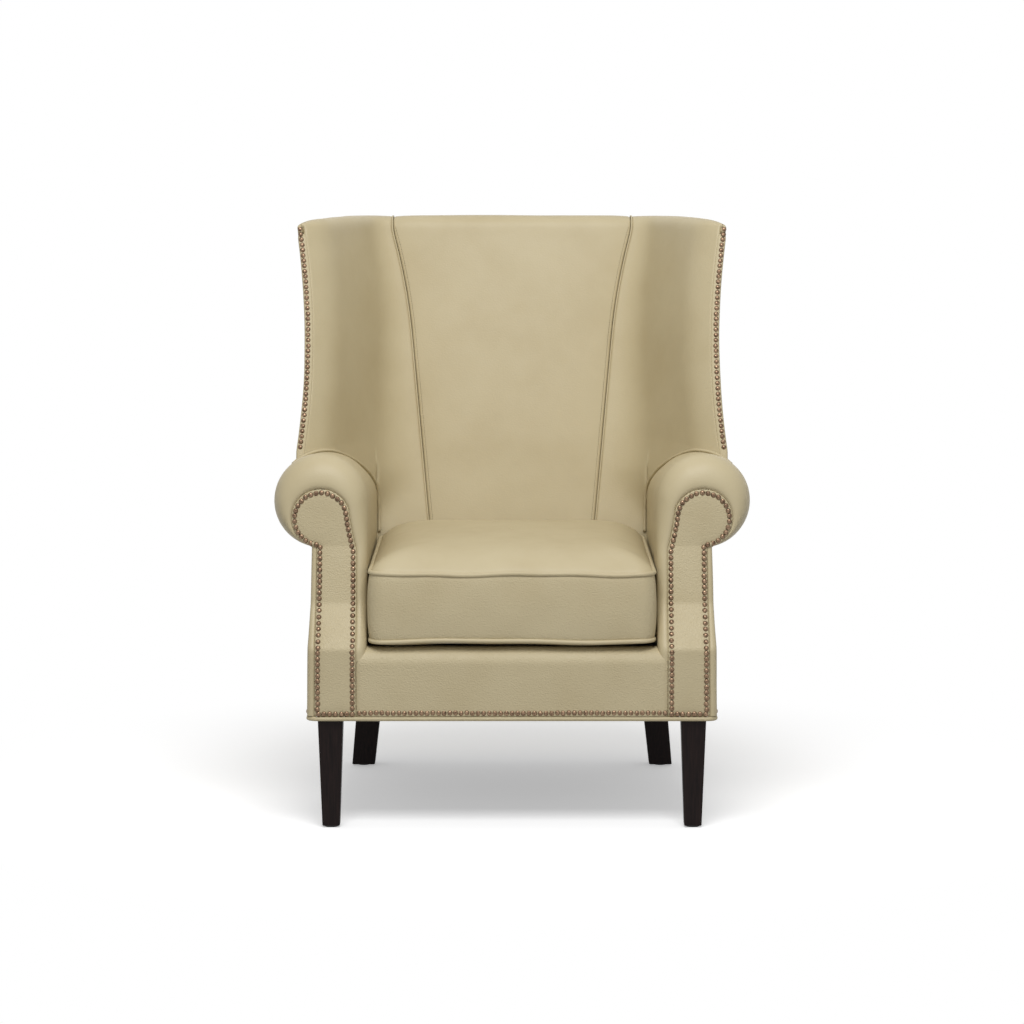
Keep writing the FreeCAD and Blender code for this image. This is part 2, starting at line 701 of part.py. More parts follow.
def build_back_frame():
    lean = "(Sizes.back_foot + Sizes.back_lean_out * (%s - Sizes.base_bottom))"
    face = "(Sizes.inside_back + Sizes.inside_lean * (%s - Sizes.lean_start))"
    behind = "Sizes.back_pad + 2"
    for name, side in SIDES:
        start = "Sizes.post_inner" if side > 0 else "-Sizes.post_inner - 24"
        head = "Sizes.post_head"
        corners = [
            ("Sizes.inside_back + %s + 1" % behind, "Sizes.base_bottom"),
            ("Sizes.back_foot - 29", "Sizes.base_bottom"),
            ("%s - 24" % (lean % head), head),
            ("%s + %s" % (face % head, behind), head),
            ("%s + %s" % (face % "480", behind), "480"),
        ]
        board(name + "_back_post", "YZ_Plane", corners, start, "24")
    corners = [
        ("%s + %s" % (face % "990", behind), "990"),
        ("%s - 6" % (lean % "990"), "990"),
        ("%s - 6" % (lean % "Sizes.post_head"), "Sizes.post_head"),
        ("%s + %s" % (face % "Sizes.post_head", behind), "Sizes.post_head"),
    ]
    board("top_back_rail", "YZ_Plane", corners, "-288", "576")
    board("lower_back_rail", "YZ_Plane",
          rectangle("Sizes.inside_back + %s + 1" % behind, "Sizes.inside_back + 73", "345", "410"),
          "-288", "576")
    straps = []
    for height in (500, 600, 700, 800, 900):
        back = inside_back(height) + size("back_pad") + 5
        half = 288 if height > 650 else 258
        strap = Part.makeBox(2 * half, 1.2, 50, Vector(-half, 0, -25))
        strap.rotate(Vector(0, 0, 0), Vector(1, 0, 0), -math.degrees(math.atan(size("inside_lean"))))
        strap.translate(Vector(0, back, height))
        straps.append(strap)
    keep_shape("back_webbing", Part.makeCompound(straps))
    top_rails = []
    for name, side in SIDES:
        keep_shape(name + "_wing_board", mirrored(wing_board_shape(), side))
        edge, front = wing_edge(1000)
        corners = [(edge - 43, front + 85), (edge - 28, front + 85), (332, 735), (317, 735)]
        base = polygon([Vector(side * x, y, 985) for x, y in corners])
        top_rails.append(base.extrude(Vector(0, 0, 32)))
    keep_shape("wing_top_rails", Part.makeCompound(top_rails))


def build_outside_back():
    lean = "(Sizes.back_foot + Sizes.back_lean_out * (%s - Sizes.base_bottom))"
    low = "Sizes.base_bottom + 1.3"
    head = "(Sizes.top_height - 27.5)"
    corners = [
        ("%s - Sizes.cover" % (lean % low), low),
        (lean % low, low),
        (lean % head, head),
        ("%s - Sizes.cover" % (lean % head), head),
    ]
    board("outside_back_cover", "YZ_Plane", corners, "-Sizes.seam", "2 * Sizes.seam")


# Welts

def base_outline(inset, height):
    front = inset
    rear = outside_back(height) - inset
    half_front = side_face(0, height) - inset
    half_rear = side_face(rear, height) - inset
    points = [(half_front, front), (half_rear, rear), (-half_rear, rear), (-half_front, front)]
    corner = size("rear_corner") - inset
    return ring(points, [14.0, corner, corner, 14.0], flat(height))


def wing_face_back(across_place, height, clear):
    """How far back a line beside the wing's seat side is, at a distance from the middle and a height."""
    points, radii = wing_path(height)
    points = offset_path(points, -clear)
    radii = [radii[0] - clear, radii[1] + clear]
    found = []
    for edge in rounded(points, radii, flat(height)):
        found.extend(edge.discretize(12))
    for first, second in zip(found, found[1:]):
        if first.x <= across_place <= second.x and second.x > first.x:
            share = (across_place - first.x) / (second.x - first.x)
            return first.y + share * (second.y - first.y)
    return found[0].y if across_place < found[0].x else found[-1].y


def arm_welt_points():
    """Points clear of the roll and of the wing's seat side by the welt's radius."""
    clear = size("welt_radius") + 1.6
    points = []
    beside_stem = size("arm_inner") - 3.7 - clear
    stem_clear = 3.0
    for height in (478, 500, 522):
        points.append(Vector(beside_stem, wing_face_back(beside_stem, height, clear), height))
    for step in range(15):
        angle = math.radians(186 - 141 * step / 14)
        back = 420.0
        for _ in range(25):
            centre, height, radius = roll_at(back)
            place = Vector(centre + (radius + clear) * math.cos(angle), back,
                           height + (radius + clear) * math.sin(angle))
            place.x -= stem_clear * eased((size("roll_height") + 18 - place.z) / 44)
            target = wing_face_back(place.x, place.z, clear)
            back += 0.5 * (target - back)
        points.append(place)
    return points


def back_welt_points():
    """Points beside the seam, up the inside back and over its crest, clear of both by the welt's radius."""
    clear = size("welt_radius") + 0.8
    line_points = [(inside_back(z), z) for z in (480, 560, 640, 720, 800, 880, 950, 1010, 1045)]
    line_points += [(inside_back(z) + inset, z) for z, inset in crest_steps()]
    line_points.append((inside_back(size("top_height")) + 44, size("top_height")))
    points = []
    for index, (back, height) in enumerate(line_points):
        before = line_points[max(0, index - 1)]
        after = line_points[min(len(line_points) - 1, index + 1)]
        run = unit(before, after)
        points.append(Vector(welt_across(height), back - clear * run[1], height + clear * run[0]))
    return points


def build_welts():
    keep_shape("base_welt", loop_tube(base_outline(2.0, 204.8).Edges, size("edge_welt")))
    points = back_welt_points()
    back_welt = tube(points, size("welt_radius"), Vector(1, 0, 0))
    arm_welt = tube(arm_welt_points(), size("welt_radius"), Vector(0, 1, 0))
    for name, side in SIDES:
        keep_shape(name + "_back_welt", mirrored(back_welt, side))
        keep_shape(name + "_arm_welt", mirrored(arm_welt, side))


# Seat suspension

def build_suspension():
    wire = size("spring_wire")
    height = size("rail_top") + wire + 0.1
    front = size("border") + 8
    rear = size("back_foot") - COVER - 10
    half_turn = 19.0
    reach = 8.0
    turns = 16
    lead = (rear - front - 2 * half_turn * turns) / 2

    def spring(centre):
        """One sinuous spring: straight ends, quarter bends and half turns to either side."""
        edges = []
        here = Vector(centre, front, height)

        def run(x, y):
            nonlocal here
            after = Vector(x, y, height)
            edges.append(Part.LineSegment(here, after).toShape())
            here = after

        def quarter(pivot, end):
            nonlocal here
            radius = (here - pivot).Length
            middle = pivot + (here + end - pivot * 2).normalize() * radius
            edges.append(Part.Arc(here, middle, end).toShape())
            here = end

        run(centre, front + lead - reach)
        pivot = here + Vector(reach, 0, 0)
        quarter(pivot, pivot + Vector(0, reach, 0))
        side = 1
        for turn in range(turns):
            pivot = here + Vector(0, half_turn, 0)
            quarter(pivot, pivot + Vector(side * half_turn, 0, 0))
            quarter(pivot, pivot + Vector(0, half_turn, 0))
            side = -side
            if turn < turns - 1:
                run(centre + side * reach, here.y)
        pivot = here + Vector(0, reach, 0)
        quarter(pivot, pivot + Vector(reach, 0, 0))
        run(centre, rear)
        circle = Part.Wire(Part.makeCircle(wire, Vector(centre, front, height), Vector(0, 1, 0)))
        return Part.Wire(edges).makePipeShell([circle], True, False)

    centres = [-200, -100, 0, 100, 200]
    first = spring(0)
    springs = [first.translated(Vector(x, 0, 0)) for x in centres]
    keep_shape("seat_springs", Part.makeCompound(springs))
    clips = []
    for x in centres:
        for back in (front - 3, rear - 17):
            clips.append(Part.makeBox(18, 20, 5.2, Vector(x - 9, back, size("rail_top"))))
    keep_shape("spring_clips", Part.makeCompound(clips))
    box = doc.addObject("Part::Box", "deck_pad")
    box.setExpression("Length", "2 * Sizes.arm_inner - 8")
    box.setExpression("Width", "Sizes.inside_back - 47")
    box.setExpression("Height", "Sizes.deck_top - Sizes.rail_top - 7")
    box.setExpression("Placement.Base.x", "4 - Sizes.arm_inner")
    box.setExpression("Placement.Base.z", "Sizes.rail_top + 7")
    keep("deck_pad", box)
    box.setExpression("Placement.Base.y", "45.3 - Sizes.origin_behind_front")


# Seat cushion

def cushion_section(height, inset):
    half_front = size("cushion_half") - inset
    half_rear = size("cushion_half") - 4.5 - inset
    front = size("cushion_front") + inset
    rear = size("cushion_rear") - inset
    grown = 0.55 * max(0.0, inset)
    front_corner = size("cushion_front_corner") + grown
    rear_corner = size("cushion_rear_corner") + grown
    points = [(half_front, front), (half_rear, rear), (-half_rear, rear), (-half_front, front)]
    return ring(points, [front_corner, rear_corner, rear_corner, front_corner], flat(height))


def cushion_loft(steps):
    return Part.makeLoft([cushion_section(height, inset) for height, inset in steps], True, False)


def build_cushion():
    """A boxed cushion: a foam core in a band, between a crowned top and a crowned bottom."""
    low = size("cushion_low_seam")
    high = size("cushion_high_seam")
    crown = size("cushion_crown")
    belly = low - size("deck_top") - 0.6
    clear = size("edge_welt") + GAP
    wall = size("cushion_cover")
    top = cushion_loft([(high + clear, 2.5), (high + crown * 0.3, 12), (high + crown * 0.55, 32),
                        (high + crown * 0.82, 72), (high + crown, 128)])
    bottom = cushion_loft([(low - clear, 2.5), (low - belly * 0.5, 14), (low - belly * 0.8, 45),
                           (low - belly, 100)])
    band_outside = cushion_loft([(low + clear, 0.5), (low + 32, -2.4), ((low + high) / 2, -3.4),
                                 (high - 32, -2.4), (high - clear, 0.5)])
    core_height = high - low + 2 * clear - 2 * GAP
    core = Part.Face(cushion_section(low - clear + GAP, wall + GAP)).extrude(Vector(0, 0, core_height))
    bore = Part.Face(cushion_section(low - clear + GAP, wall)).extrude(Vector(0, 0, core_height))
    keep_shape("cushion_core", core)
    keep_shape("cushion_bottom_panel", bottom)
    keep_shape("cushion_boxing", band_outside.cut(bore))
    keep_shape("cushion_top_panel", top)
    keep_shape("cushion_bottom_welt", loop_tube(cushion_section(low, 0.3).Edges, size("edge_welt")))
    keep_shape("cushion_top_welt", loop_tube(cushion_section(high, 0.3).Edges, size("edge_welt")))
    middle = (low + high) / 2
    tape = Part.makeBox(440, 1.6, 12, Vector(-220, size("cushion_rear") + 3.8, middle - 6))
    keep_shape("cushion_zipper", tape)
    slider = Part.makeBox(10, 4, 14, Vector(-215, size("cushion_rear") + 5.8, middle - 7))
    keep_shape("zipper_slider", slider)


# Legs

def square(centre_x, centre_y, width):
    return rectangle("%s - %s / 2" % (centre_x, width), "%s + %s / 2" % (centre_x, width),
                     "%s - %s / 2" % (centre_y, width), "%s + %s / 2" % (centre_y, width))


def build_legs():
    glides = []
    bolts = []
    for name, side in SIDES:
        sign = "%d * " % side
        taper(name + "_front_leg", "XY_Plane",
              square(sign + "Sizes.front_leg_across", "Sizes.front_leg_back", "Sizes.front_leg_foot"),
              "Sizes.glide",
              square(sign + "Sizes.front_leg_across", "Sizes.front_leg_back", "Sizes.front_leg_top"),
              "Sizes.base_bottom")
        taper(name + "_rear_leg", "XY_Plane",
              square(sign + "(Sizes.rear_leg_across + Sizes.rear_leg_splay)",
                     "(Sizes.rear_leg_back + Sizes.rear_leg_rake)", "Sizes.rear_leg_foot"),
              "Sizes.glide",
              square(sign + "Sizes.rear_leg_across", "Sizes.rear_leg_back", "Sizes.rear_leg_top"),
              "Sizes.base_bottom")
        front = Vector(side * size("front_leg_across"), size("front_leg_back"), 0)
        rear = Vector(side * (size("rear_leg_across") + size("rear_leg_splay")),
                      size("rear_leg_back") + size("rear_leg_rake"), 0)
        for foot in (front, rear):
            glides.append(Part.makeCylinder(12, size("glide"), foot))
        rear_top = Vector(side * (size("rear_leg_across") - 6), size("rear_leg_back") + 4, 0)
        for top in (front, rear_top):
            bolts.append(Part.makeCylinder(4, 80, Vector(top.x, top.y, size("base_bottom") - 40)))
    keep_shape("leg_glides", Part.makeCompound(glides))
    keep_shape("leg_bolts", Part.makeCompound(bolts))


def build_dust_cover():
    """The black cloth under the frame, open round the four legs."""
    bottom = size("base_bottom") - 2
    cloth = Part.Face(base_outline(9, 206)).extrude(Vector(0, 0, 1.5))
    cloth.translate(Vector(0, 0, bottom - 206))
    holes = []
    for name, side in SIDES:
        for label in ("_front_leg", "_rear_leg"):
            centre_y = size("front_leg_back") if "front" in label else size("rear_leg_back")
            centre_x = side * (size("front_leg_across") if "front" in label else size("rear_leg_across"))
            half = size("rear_leg_top") / 2 + 1.5
            holes.append(Part.makeBox(2 * half, 2 * half, 30,
                                      Vector(centre_x - half, centre_y - half, bottom - 10)))
    keep_shape("dust_cover", cloth.cut(holes))


# Nails

def nail(place, outward):
    """A domed nail: a cap on the surface and its shank behind."""
    head = size("nail_head")
    rise = size("nail_rise")
    points = [Vector(0, 0, rise), Vector(head * 0.72, 0, rise * 0.62), Vector(head, 0, 0),
              Vector(0.8, 0, 0), Vector(0.8, 0, -12), Vector(0, 0, -12)]
    edges = [Part.Arc(points[0], points[1], points[2]).toShape()]
    edges += [Part.LineSegment(a, b).toShape() for a, b in zip(points[2:], points[3:] + points[:1])]
    solid = Part.Face(Part.Wire(edges)).revolve(Vector(0, 0, 0), Vector(0, 0, 1), 360)
    solid.Placement = Placement(place, Rotation(Vector(0, 0, 1), outward))
    return solid


def spaced(wire, pitch):
    """Points at an even pitch along a wire."""
    count = max(2, int(round(wire.Length / pitch)) + 1)
    return wire.discretize(Number=count)


def facing_normal(height):
    rise = facing_front(height + 3) - facing_front(height - 3)
    return Vector(0, -6, rise).normalize()


def build_nails():
    pitch = size("nail_pitch")
    inset = 6.0
    outline_wire = keyhole(inset).OuterWire
    arm = []
    for point in spaced(outline_wire, pitch)[:-1]:
        place = Vector(point.x, facing_front(point.z), point.z)
        arm.append(nail(place, facing_normal(point.z)))
    wing = []
    line_points = [raised((wing_edge(z)[0] - 7.0, wing_edge(z)[1]), level(z)) for z in range(666, 1067, 20)]
    edge_line = Part.Wire([Part.LineSegment(a, b).toShape() for a, b in zip(line_points, line_points[1:])])
    lean = Vector(0, -1, size("wing_lean")).normalize()
    for point in spaced(edge_line, pitch):
        wing.append(nail(point, lean))
    side_nails = []
    height = size("base_bottom") + 8
    line_start = Vector(side_face(22, height), 22, height)
    line_end = Vector(side_face(600, height), 600, height)
    side_line = Part.Wire([Part.LineSegment(line_start, line_end).toShape()])
    outward = Vector(1, size("side_taper"), 0).normalize()
    for point in spaced(side_line, pitch):
        side_nails.append(nail(point, outward))
    for name, side in SIDES:
        keep_shape(name + "_arm_nails", mirrored(Part.makeCompound(arm), side))
        keep_shape(name + "_wing_nails", mirrored(Part.makeCompound(wing), side))
        keep_shape(name + "_side_nails", mirrored(Part.makeCompound(side_nails), side))
    half = size("facing_inner") - 6.0
    rail_line = Part.Wire([Part.LineSegment(Vector(-half, 0, height), Vector(half, 0, height)).toShape()])
    rail = [nail(point, Vector(0, -1, 0)) for point in spaced(rail_line, pitch)]
    keep_shape("front_rail_nails", Part.makeCompound(rail))


def main():
    build_seat_frame()
    build_corner_blocks()
    roll, pad = build_arms()
    build_front_border()
    build_inside_back()
    build_wings(roll)
    build_outside_covers(roll)
    build_back_frame()
    build_outside_back()
    build_welts()
    build_suspension()
    build_cushion()
    build_legs()
    doc.recompute()
    build_dust_cover()
    build_nails()
    doc.recompute()
    for thing in doc.Objects:
        if "Invalid" in thing.State or "Error" in thing.State:
            raise SystemExit("%s did not build: %s" % (thing.Label, thing.State))
    os.makedirs("parts", exist_ok=True)
    whole = FreeCAD.BoundBox()
    for label, thing in parts.items():
        shape = thing.Shape
        if shape.isNull() or not shape.isValid() or shape.Volume <= 0:
            raise SystemExit("%s has no valid shape" % label)
        whole.add(shape.BoundBox)
        shape.exportStep("parts/%s.step" % label)
        print("%-26s solids %3d volume %11.1f" % (label, len(shape.Solids), shape.Volume))
    print("whole", whole)


main()
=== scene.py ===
import json
import math
import random

import bmesh
import bpy
import numpy as np
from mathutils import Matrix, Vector, noise


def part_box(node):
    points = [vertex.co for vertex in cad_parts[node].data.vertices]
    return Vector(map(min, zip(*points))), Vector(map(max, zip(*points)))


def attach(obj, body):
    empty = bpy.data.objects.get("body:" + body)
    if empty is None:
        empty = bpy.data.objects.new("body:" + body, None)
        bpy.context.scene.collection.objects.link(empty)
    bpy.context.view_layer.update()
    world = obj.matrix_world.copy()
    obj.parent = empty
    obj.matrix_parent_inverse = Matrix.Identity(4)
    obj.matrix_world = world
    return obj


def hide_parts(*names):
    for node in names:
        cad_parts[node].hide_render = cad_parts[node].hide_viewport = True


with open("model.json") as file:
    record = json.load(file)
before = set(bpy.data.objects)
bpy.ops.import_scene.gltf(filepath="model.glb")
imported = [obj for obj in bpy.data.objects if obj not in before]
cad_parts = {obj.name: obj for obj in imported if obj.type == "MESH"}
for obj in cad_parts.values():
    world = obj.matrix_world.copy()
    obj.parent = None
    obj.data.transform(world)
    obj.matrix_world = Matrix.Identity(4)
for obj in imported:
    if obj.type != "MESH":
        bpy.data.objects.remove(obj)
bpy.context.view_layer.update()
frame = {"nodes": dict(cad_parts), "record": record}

# Everything is drawn in millimetres, with X across the chair, Y back from the front of the base and
# Z up from the floor, and turned into metres in the chair's frame when a mesh is made. Pieces are
# drawn on the right, the side of +X, and mirrored to the left.

MM = 0.001
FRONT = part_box("front_border")[0].y
SIDES = (("left", -1), ("right", 1))


def low(node):
    """A CAD node's lowest corner in the drawing's own millimetres."""
    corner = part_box(node)[0]
    return Vector((corner.x, corner.y - FRONT, corner.z)) / MM


def high(node):
    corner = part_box(node)[1]
    return Vector((corner.x, corner.y - FRONT, corner.z)) / MM


# Sizes read from the frame
BASE_BOTTOM = low("front_seat_rail").z
DECK_TOP = high("front_border").z
TOP = high("inside_back_panel").z
BACK_SEAM = high("outside_back_cover").x
FACING_INNER = low("right_arm_facing").x

# Sizes shared with the model's source
BASE_HALF_WIDTH = 375.0
SIDE_TAPER = 0.06
SIDE_LEAN = 0.01
BACK_FOOT = 700.0
BACK_LEAN_OUT = 0.125
REAR_CORNER = 65.0
COVER_FOOT = BASE_BOTTOM + 1.3
COVER_SEAM = 520.0
FACING_OUTER = 361.0
FACING_BACK = 72.0
FACING_TAPER = 3.5
STEM_TOP = 514.0
STEM_LOW = 410.0
STEM_BACK = 52.0
SCROLL_ACROSS = 350.5
SCROLL_HEIGHT = 564.0
SCROLL = 54.0
NOTCH_ANGLE = -78.0
NECK_ANGLE = 162.0
NECK_FOOT = 505.0
NECK_BOW = 1.4
ROLL = 86.0
ROLL_HEIGHT = 592.0
ROLL_FRONT = 125.0
ROLL_TAPER = 370.0
ROLL_SLOPE = 0.1
ROLL_TOE_IN = 0.003
ROLL_END = 690.0
ROLL_END_RADIUS = 30.0
ARM_INNER = 266.0
INSIDE_BACK = 558.5
INSIDE_LEAN = 0.2586
LEAN_START = 470.0
SEAT_LEVEL = 480.0
RISE = 25.5
RIM = TOP - RISE
TOP_TILT = -0.028
TILT_FROM = 600.0
TILT_BACK = 735.0
WING_EDGE_LOW = 409.0
WING_EDGE_BOW = 15.0
WING_TIP_OUT = 4.0
WING_TIP_DOWN = 15.0
WING_FRONT = 330.0
WING_ARM = 660.0
WING_LEAN = 0.297
WELT_SEAT = 163.0
WELT_FOOT = 495.0
WELT_SLOPE = 0.096
WELT_FLARE = 25.0
FLARE_FROM = 850.0
FLARE_RUN = 236.0
WELT_RADIUS = 3.2
SEAM_CORD = 1.7
EDGE_WELT = 4.2
CUSHION_HALF = 259.5
CUSHION_TAPER = 4.5
CUSHION_FRONT = 2.5
CUSHION_REAR = 541.0
CUSHION_LOW_SEAM = 348.0
CUSHION_HIGH_SEAM = 471.0
CUSHION_CROWN = 48.0
UNDERSIDE_CROWN = 14.0
REAR_RADIUS = 45.0
FRONT_RADIUS = 26.0
NAIL_HEAD = 4.8
NAIL_RISE = 3.05
NAIL_SHANK = 12.0
NAIL_TILT = 0.05
LEG_EASE = 1.6


# Main surfaces, by the same formulas as the model's source

def outside_back(height):
    return BACK_FOOT + BACK_LEAN_OUT * (height - BASE_BOTTOM)


def inside_back(height):
    return INSIDE_BACK + INSIDE_LEAN * max(0.0, height - LEAN_START)


def side_face(back, height):
    return BASE_HALF_WIDTH - SIDE_TAPER * back - SIDE_LEAN * (height - BASE_BOTTOM)


def welt_across(height):
    flare = max(0.0, (height - FLARE_FROM) / FLARE_RUN)
    return WELT_SEAT + WELT_SLOPE * (height - WELT_FOOT) + WELT_FLARE * flare * flare


def wing_edge(height):
    """The wing's outermost line: its distance from the middle and from the front."""
    share = max(0.0, (height - WING_ARM) / (TOP - WING_TIP_DOWN - WING_ARM))
    across = WING_EDGE_LOW + WING_TIP_OUT * share * share - WING_EDGE_BOW * 4.0 * share * (1.0 - share)
    return across, WING_FRONT + WING_LEAN * (height - WING_ARM)


def smooth(share):
    """A share held between 0 and 1, with soft ends."""
    share = max(0.0, min(1.0, share))
    return share * share * (3 - 2 * share)


def tilted(height, back):
    """The height of a level at a distance back: levels rise a little towards the wing tips."""
    share = max(0.0, (height - TILT_FROM) / (TOP - TILT_FROM))
    return height - TOP_TILT * share * (TILT_BACK - back)


def facing_front(height):
    """How far back the arm's front face stands at a height."""
    if height > STEM_TOP:
        return FACING_BACK
    if height > STEM_LOW:
        return FACING_BACK - (FACING_BACK - STEM_BACK) * (STEM_TOP - height) / (STEM_TOP - STEM_LOW)
    if height > DECK_TOP:
        return STEM_BACK * (height - DECK_TOP) / (STEM_LOW - DECK_TOP)
    return 0.0


def roll_at(back):
    """The arm roll behind its rounded front: its centre from the middle, height and radius."""
    radius = ROLL
    if back > ROLL_TAPER:
        radius -= (ROLL - ROLL_END_RADIUS) * ((back - ROLL_TAPER) / (ROLL_END - ROLL_TAPER)) ** 1.3
    centre = ARM_INNER - ROLL_TOE_IN * (back - ROLL_FRONT) + radius
    return centre, ROLL_HEIGHT - ROLL_SLOPE * (back - ROLL_FRONT), radius


# Paths

def rounded(points, radii, step=3.0):
    """Points along a flat path whose inner corners are arcs of the given radii."""
    points = [np.array(p, float) for p in points]
    out = [points[0]]
    for before, corner, after, radius in zip(points, points[1:], points[2:], radii):
        into = (corner - before) / np.linalg.norm(corner - before)
        away = (after - corner) / np.linalg.norm(after - corner)
        turn = math.acos(max(-1.0, min(1.0, float(into @ away))))
        if turn < 1e-6 or radius <= 0:
            out.append(corner)
            continue
        run = radius * math.tan(turn / 2)
        start = corner - into * run
        side = np.array([-into[1], into[0]])
        side *= 1 if float(side @ away) > 0 else -1
        centre = start + side * radius
        count = max(3, int(radius * turn / step))
        for number in range(count + 1):
            angle = turn * number / count
            out.append(centre - side * radius * math.cos(angle) + into * radius * math.sin(angle))
    out.append(points[-1])
    return np.array(out)


def resample(points, shares):
    """Points of a path at shares, from 0 to 1, of its length."""
    points = np.array(points, float)
    along = np.concatenate([[0.0], np.cumsum(np.linalg.norm(np.diff(points, axis=0), axis=1))])
    wanted = np.array(shares) * along[-1]
    return np.stack([np.interp(wanted, along, points[:, k]) for k in range(points.shape[1])], axis=1)


def eased(points, passes):
    """The same path with its bends softened and its ends kept."""
    points = points.copy()
    for _ in range(passes):
        points[1:-1] += 0.5 * (0.5 * (points[:-2] + points[2:]) - points[1:-1])
    return points


def spread(count, crowd=0.0):
    """Shares from 0 to 1, closer together near both ends where crowd is above 0."""
    shares = np.linspace(0.0, 1.0, count)
    return shares - crowd * np.sin(2 * math.pi * shares) / (2 * math.pi)


# Meshes

def metres(points):
    points = np.array(points, float).reshape(-1, 3) * MM
    points[:, 1] += FRONT
    return points


def mirrored(points, side):
    points = np.array(points, float)
    points[..., 0] *= side
    return points


def make(name, points, faces, material, body="chair"):
    """A mesh object from points in millimetres, riding on a body."""
    mesh = bpy.data.meshes.new(name)
    mesh.from_pydata(metres(points).tolist(), [], faces)
    mesh.materials.append(MATERIALS[material])
    shape = bmesh.new()
    shape.from_mesh(mesh)
    bmesh.ops.recalc_face_normals(shape, faces=shape.faces)
    shape.to_mesh(mesh)
    shape.free()
    mesh.shade_smooth()
    piece = bpy.data.objects.new(name, mesh)
    bpy.context.scene.collection.objects.link(piece)
    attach(piece, body)
    return piece


def grid_faces(rows, columns, start=0, closed_rows=False, closed_columns=False):
    faces = []
    for row in range(rows if closed_rows else rows - 1):
        for column in range(columns if closed_columns else columns - 1):
            right = (column + 1) % columns
            above = (row + 1) % rows
            faces.append((start + row * columns + column, start + row * columns + right,
                          start + above * columns + right, start + above * columns + column))
    return faces


def grid_normals(points, closed=False):
    """Unit normals of a grid of points, to the side of rows crossed with columns."""
    if closed:
        wrapped = np.concatenate([points[:, -1:], points, points[:, :1]], axis=1)
        across = wrapped[:, 2:] - wrapped[:, :-2]
    else:
        across = np.gradient(points, axis=1)
    normals = np.cross(across, np.gradient(points, axis=0))
    size = np.linalg.norm(normals, axis=2, keepdims=True)
    return normals / np.maximum(size, 1e-9)


def border_distance(points, edges):
    """Distance of each grid point from the nearest of the named borders, along the grid."""
    across = np.linalg.norm(np.diff(points, axis=1), axis=2)
    up = np.linalg.norm(np.diff(points, axis=0), axis=2)
    from_left = np.pad(np.cumsum(across, axis=1), ((0, 0), (1, 0)))
    from_low = np.pad(np.cumsum(up, axis=0), ((1, 0), (0, 0)))
    kinds = {"left": from_left, "right": from_left[:, -1:] - from_left,
             "low": from_low, "high": from_low[-1:] - from_low}
    return np.minimum.reduce([kinds[edge] for edge in edges])


def slack(points, normals, amount, scale, seed):
    """The unevenness of stretched leather: gentle waves along the normals."""
    moved = points.copy()
    shift = Vector((seed * 7.3, seed * 3.1, seed * 5.7))
    for row in range(points.shape[0]):
        for column in range(points.shape[1]):
            place = Vector(points[row, column]) / scale + shift
            moved[row, column] += normals[row, column] * amount * noise.noise(place)
    return moved


def panel(name, points, material, body="chair", seams=(), tuck=3.0, reach=5.0, puff=0.0, puff_reach=60.0,
          wave=0.0, wave_scale=90.0, seed=1, thickness=3.0, closed=False, flip=False):
    """A sewn panel: a grid of points tucked in at its seams, filled out between them, with a back."""
    points = np.array(points, float)
    normals = grid_normals(points, closed)
    if flip:
        normals = -normals
    if seams:
        distance = border_distance(points, seams)[..., None]
        points = points - normals * tuck * np.exp(-(distance / reach) ** 1.5)
        points = points + normals * puff * (1 - np.exp(-distance / puff_reach))
    if wave:
        points = slack(points, normals, wave, wave_scale, seed)
    inner = points - normals * thickness
    rows, columns = points.shape[:2]
    count = rows * columns
    faces = grid_faces(rows, columns, closed_columns=closed)
    faces += grid_faces(rows, columns, count, closed_columns=closed)
    rims = [(row * columns + column, row * columns + (column + 1) % columns)
            for column in range(columns if closed else columns - 1) for row in (0, rows - 1)]
    if not closed:
        rims += [(first, first + columns) for row in range(rows - 1)
                 for first in (row * columns, (row + 1) * columns - 1)]
    faces += [(a, b, count + b, count + a) for a, b in rims]
    every = np.concatenate([points.reshape(-1, 3), inner.reshape(-1, 3)])
    return make(name, every, faces, material, body)


def end_faces(rings, sides):
    """Faces that close the first and the last ring."""
    last = (rings - 1) * sides
    return [tuple(range(sides)), tuple(range(last, last + sides))]


def tube_mesh(points, radius, closed, sides):
    """Rings round a path, turned as little as possible from one to the next."""
    points = np.array(points, float)
    count = len(points)
    rings = []
    side = None
    for index in range(count):
        if closed:
            along = points[(index + 1) % count] - points[index - 1]
        else:
            along = points[min(count - 1, index + 1)] - points[max(0, index - 1)]
        along /= np.linalg.norm(along)
        if side is None:
            side = np.cross(along, (0.0, 0.0, 1.0) if abs(along[2]) < 0.9 else (0.0, 1.0, 0.0))
        side = side - along * float(side @ along)
        side /= np.linalg.norm(side)
        up = np.cross(along, side)
        for number in range(sides):
            angle = 2 * math.pi * number / sides
            rings.append(points[index] + radius * (side * math.cos(angle) + up * math.sin(angle)))
    faces = grid_faces(count, sides, closed_rows=closed, closed_columns=True)
    if not closed:
        faces += end_faces(count, sides)
    return rings, faces


def welt(name, points, radius, body="chair", closed=False):
    rings, faces = tube_mesh(points, radius, closed, sides=12)
    return make(name, rings, faces, "welt_leather", body)


# Materials

WHITE = (1.0, 1.0, 1.0, 1.0)


def fill_in(tree, node, values):
    """Sets a node's inputs, by name or number, to plain values or to other nodes' outputs."""
    for name, value in values.items():
        socket = node.inputs[name]
        if isinstance(value, bpy.types.NodeSocket):
            tree.links.new(value, socket)
        else:
            socket.default_value = value


def add_node(tree, kind, values):
    node = tree.nodes.new("ShaderNode" + kind)
    fill_in(tree, node, values)
    return node


def new_material(name):
    material = bpy.data.materials.new(name)
    material.use_nodes = True
    tree = material.node_tree
    place = add_node(tree, "TexCoord", {}).outputs["Object"]
    return material, tree, tree.nodes["Principled BSDF"], place


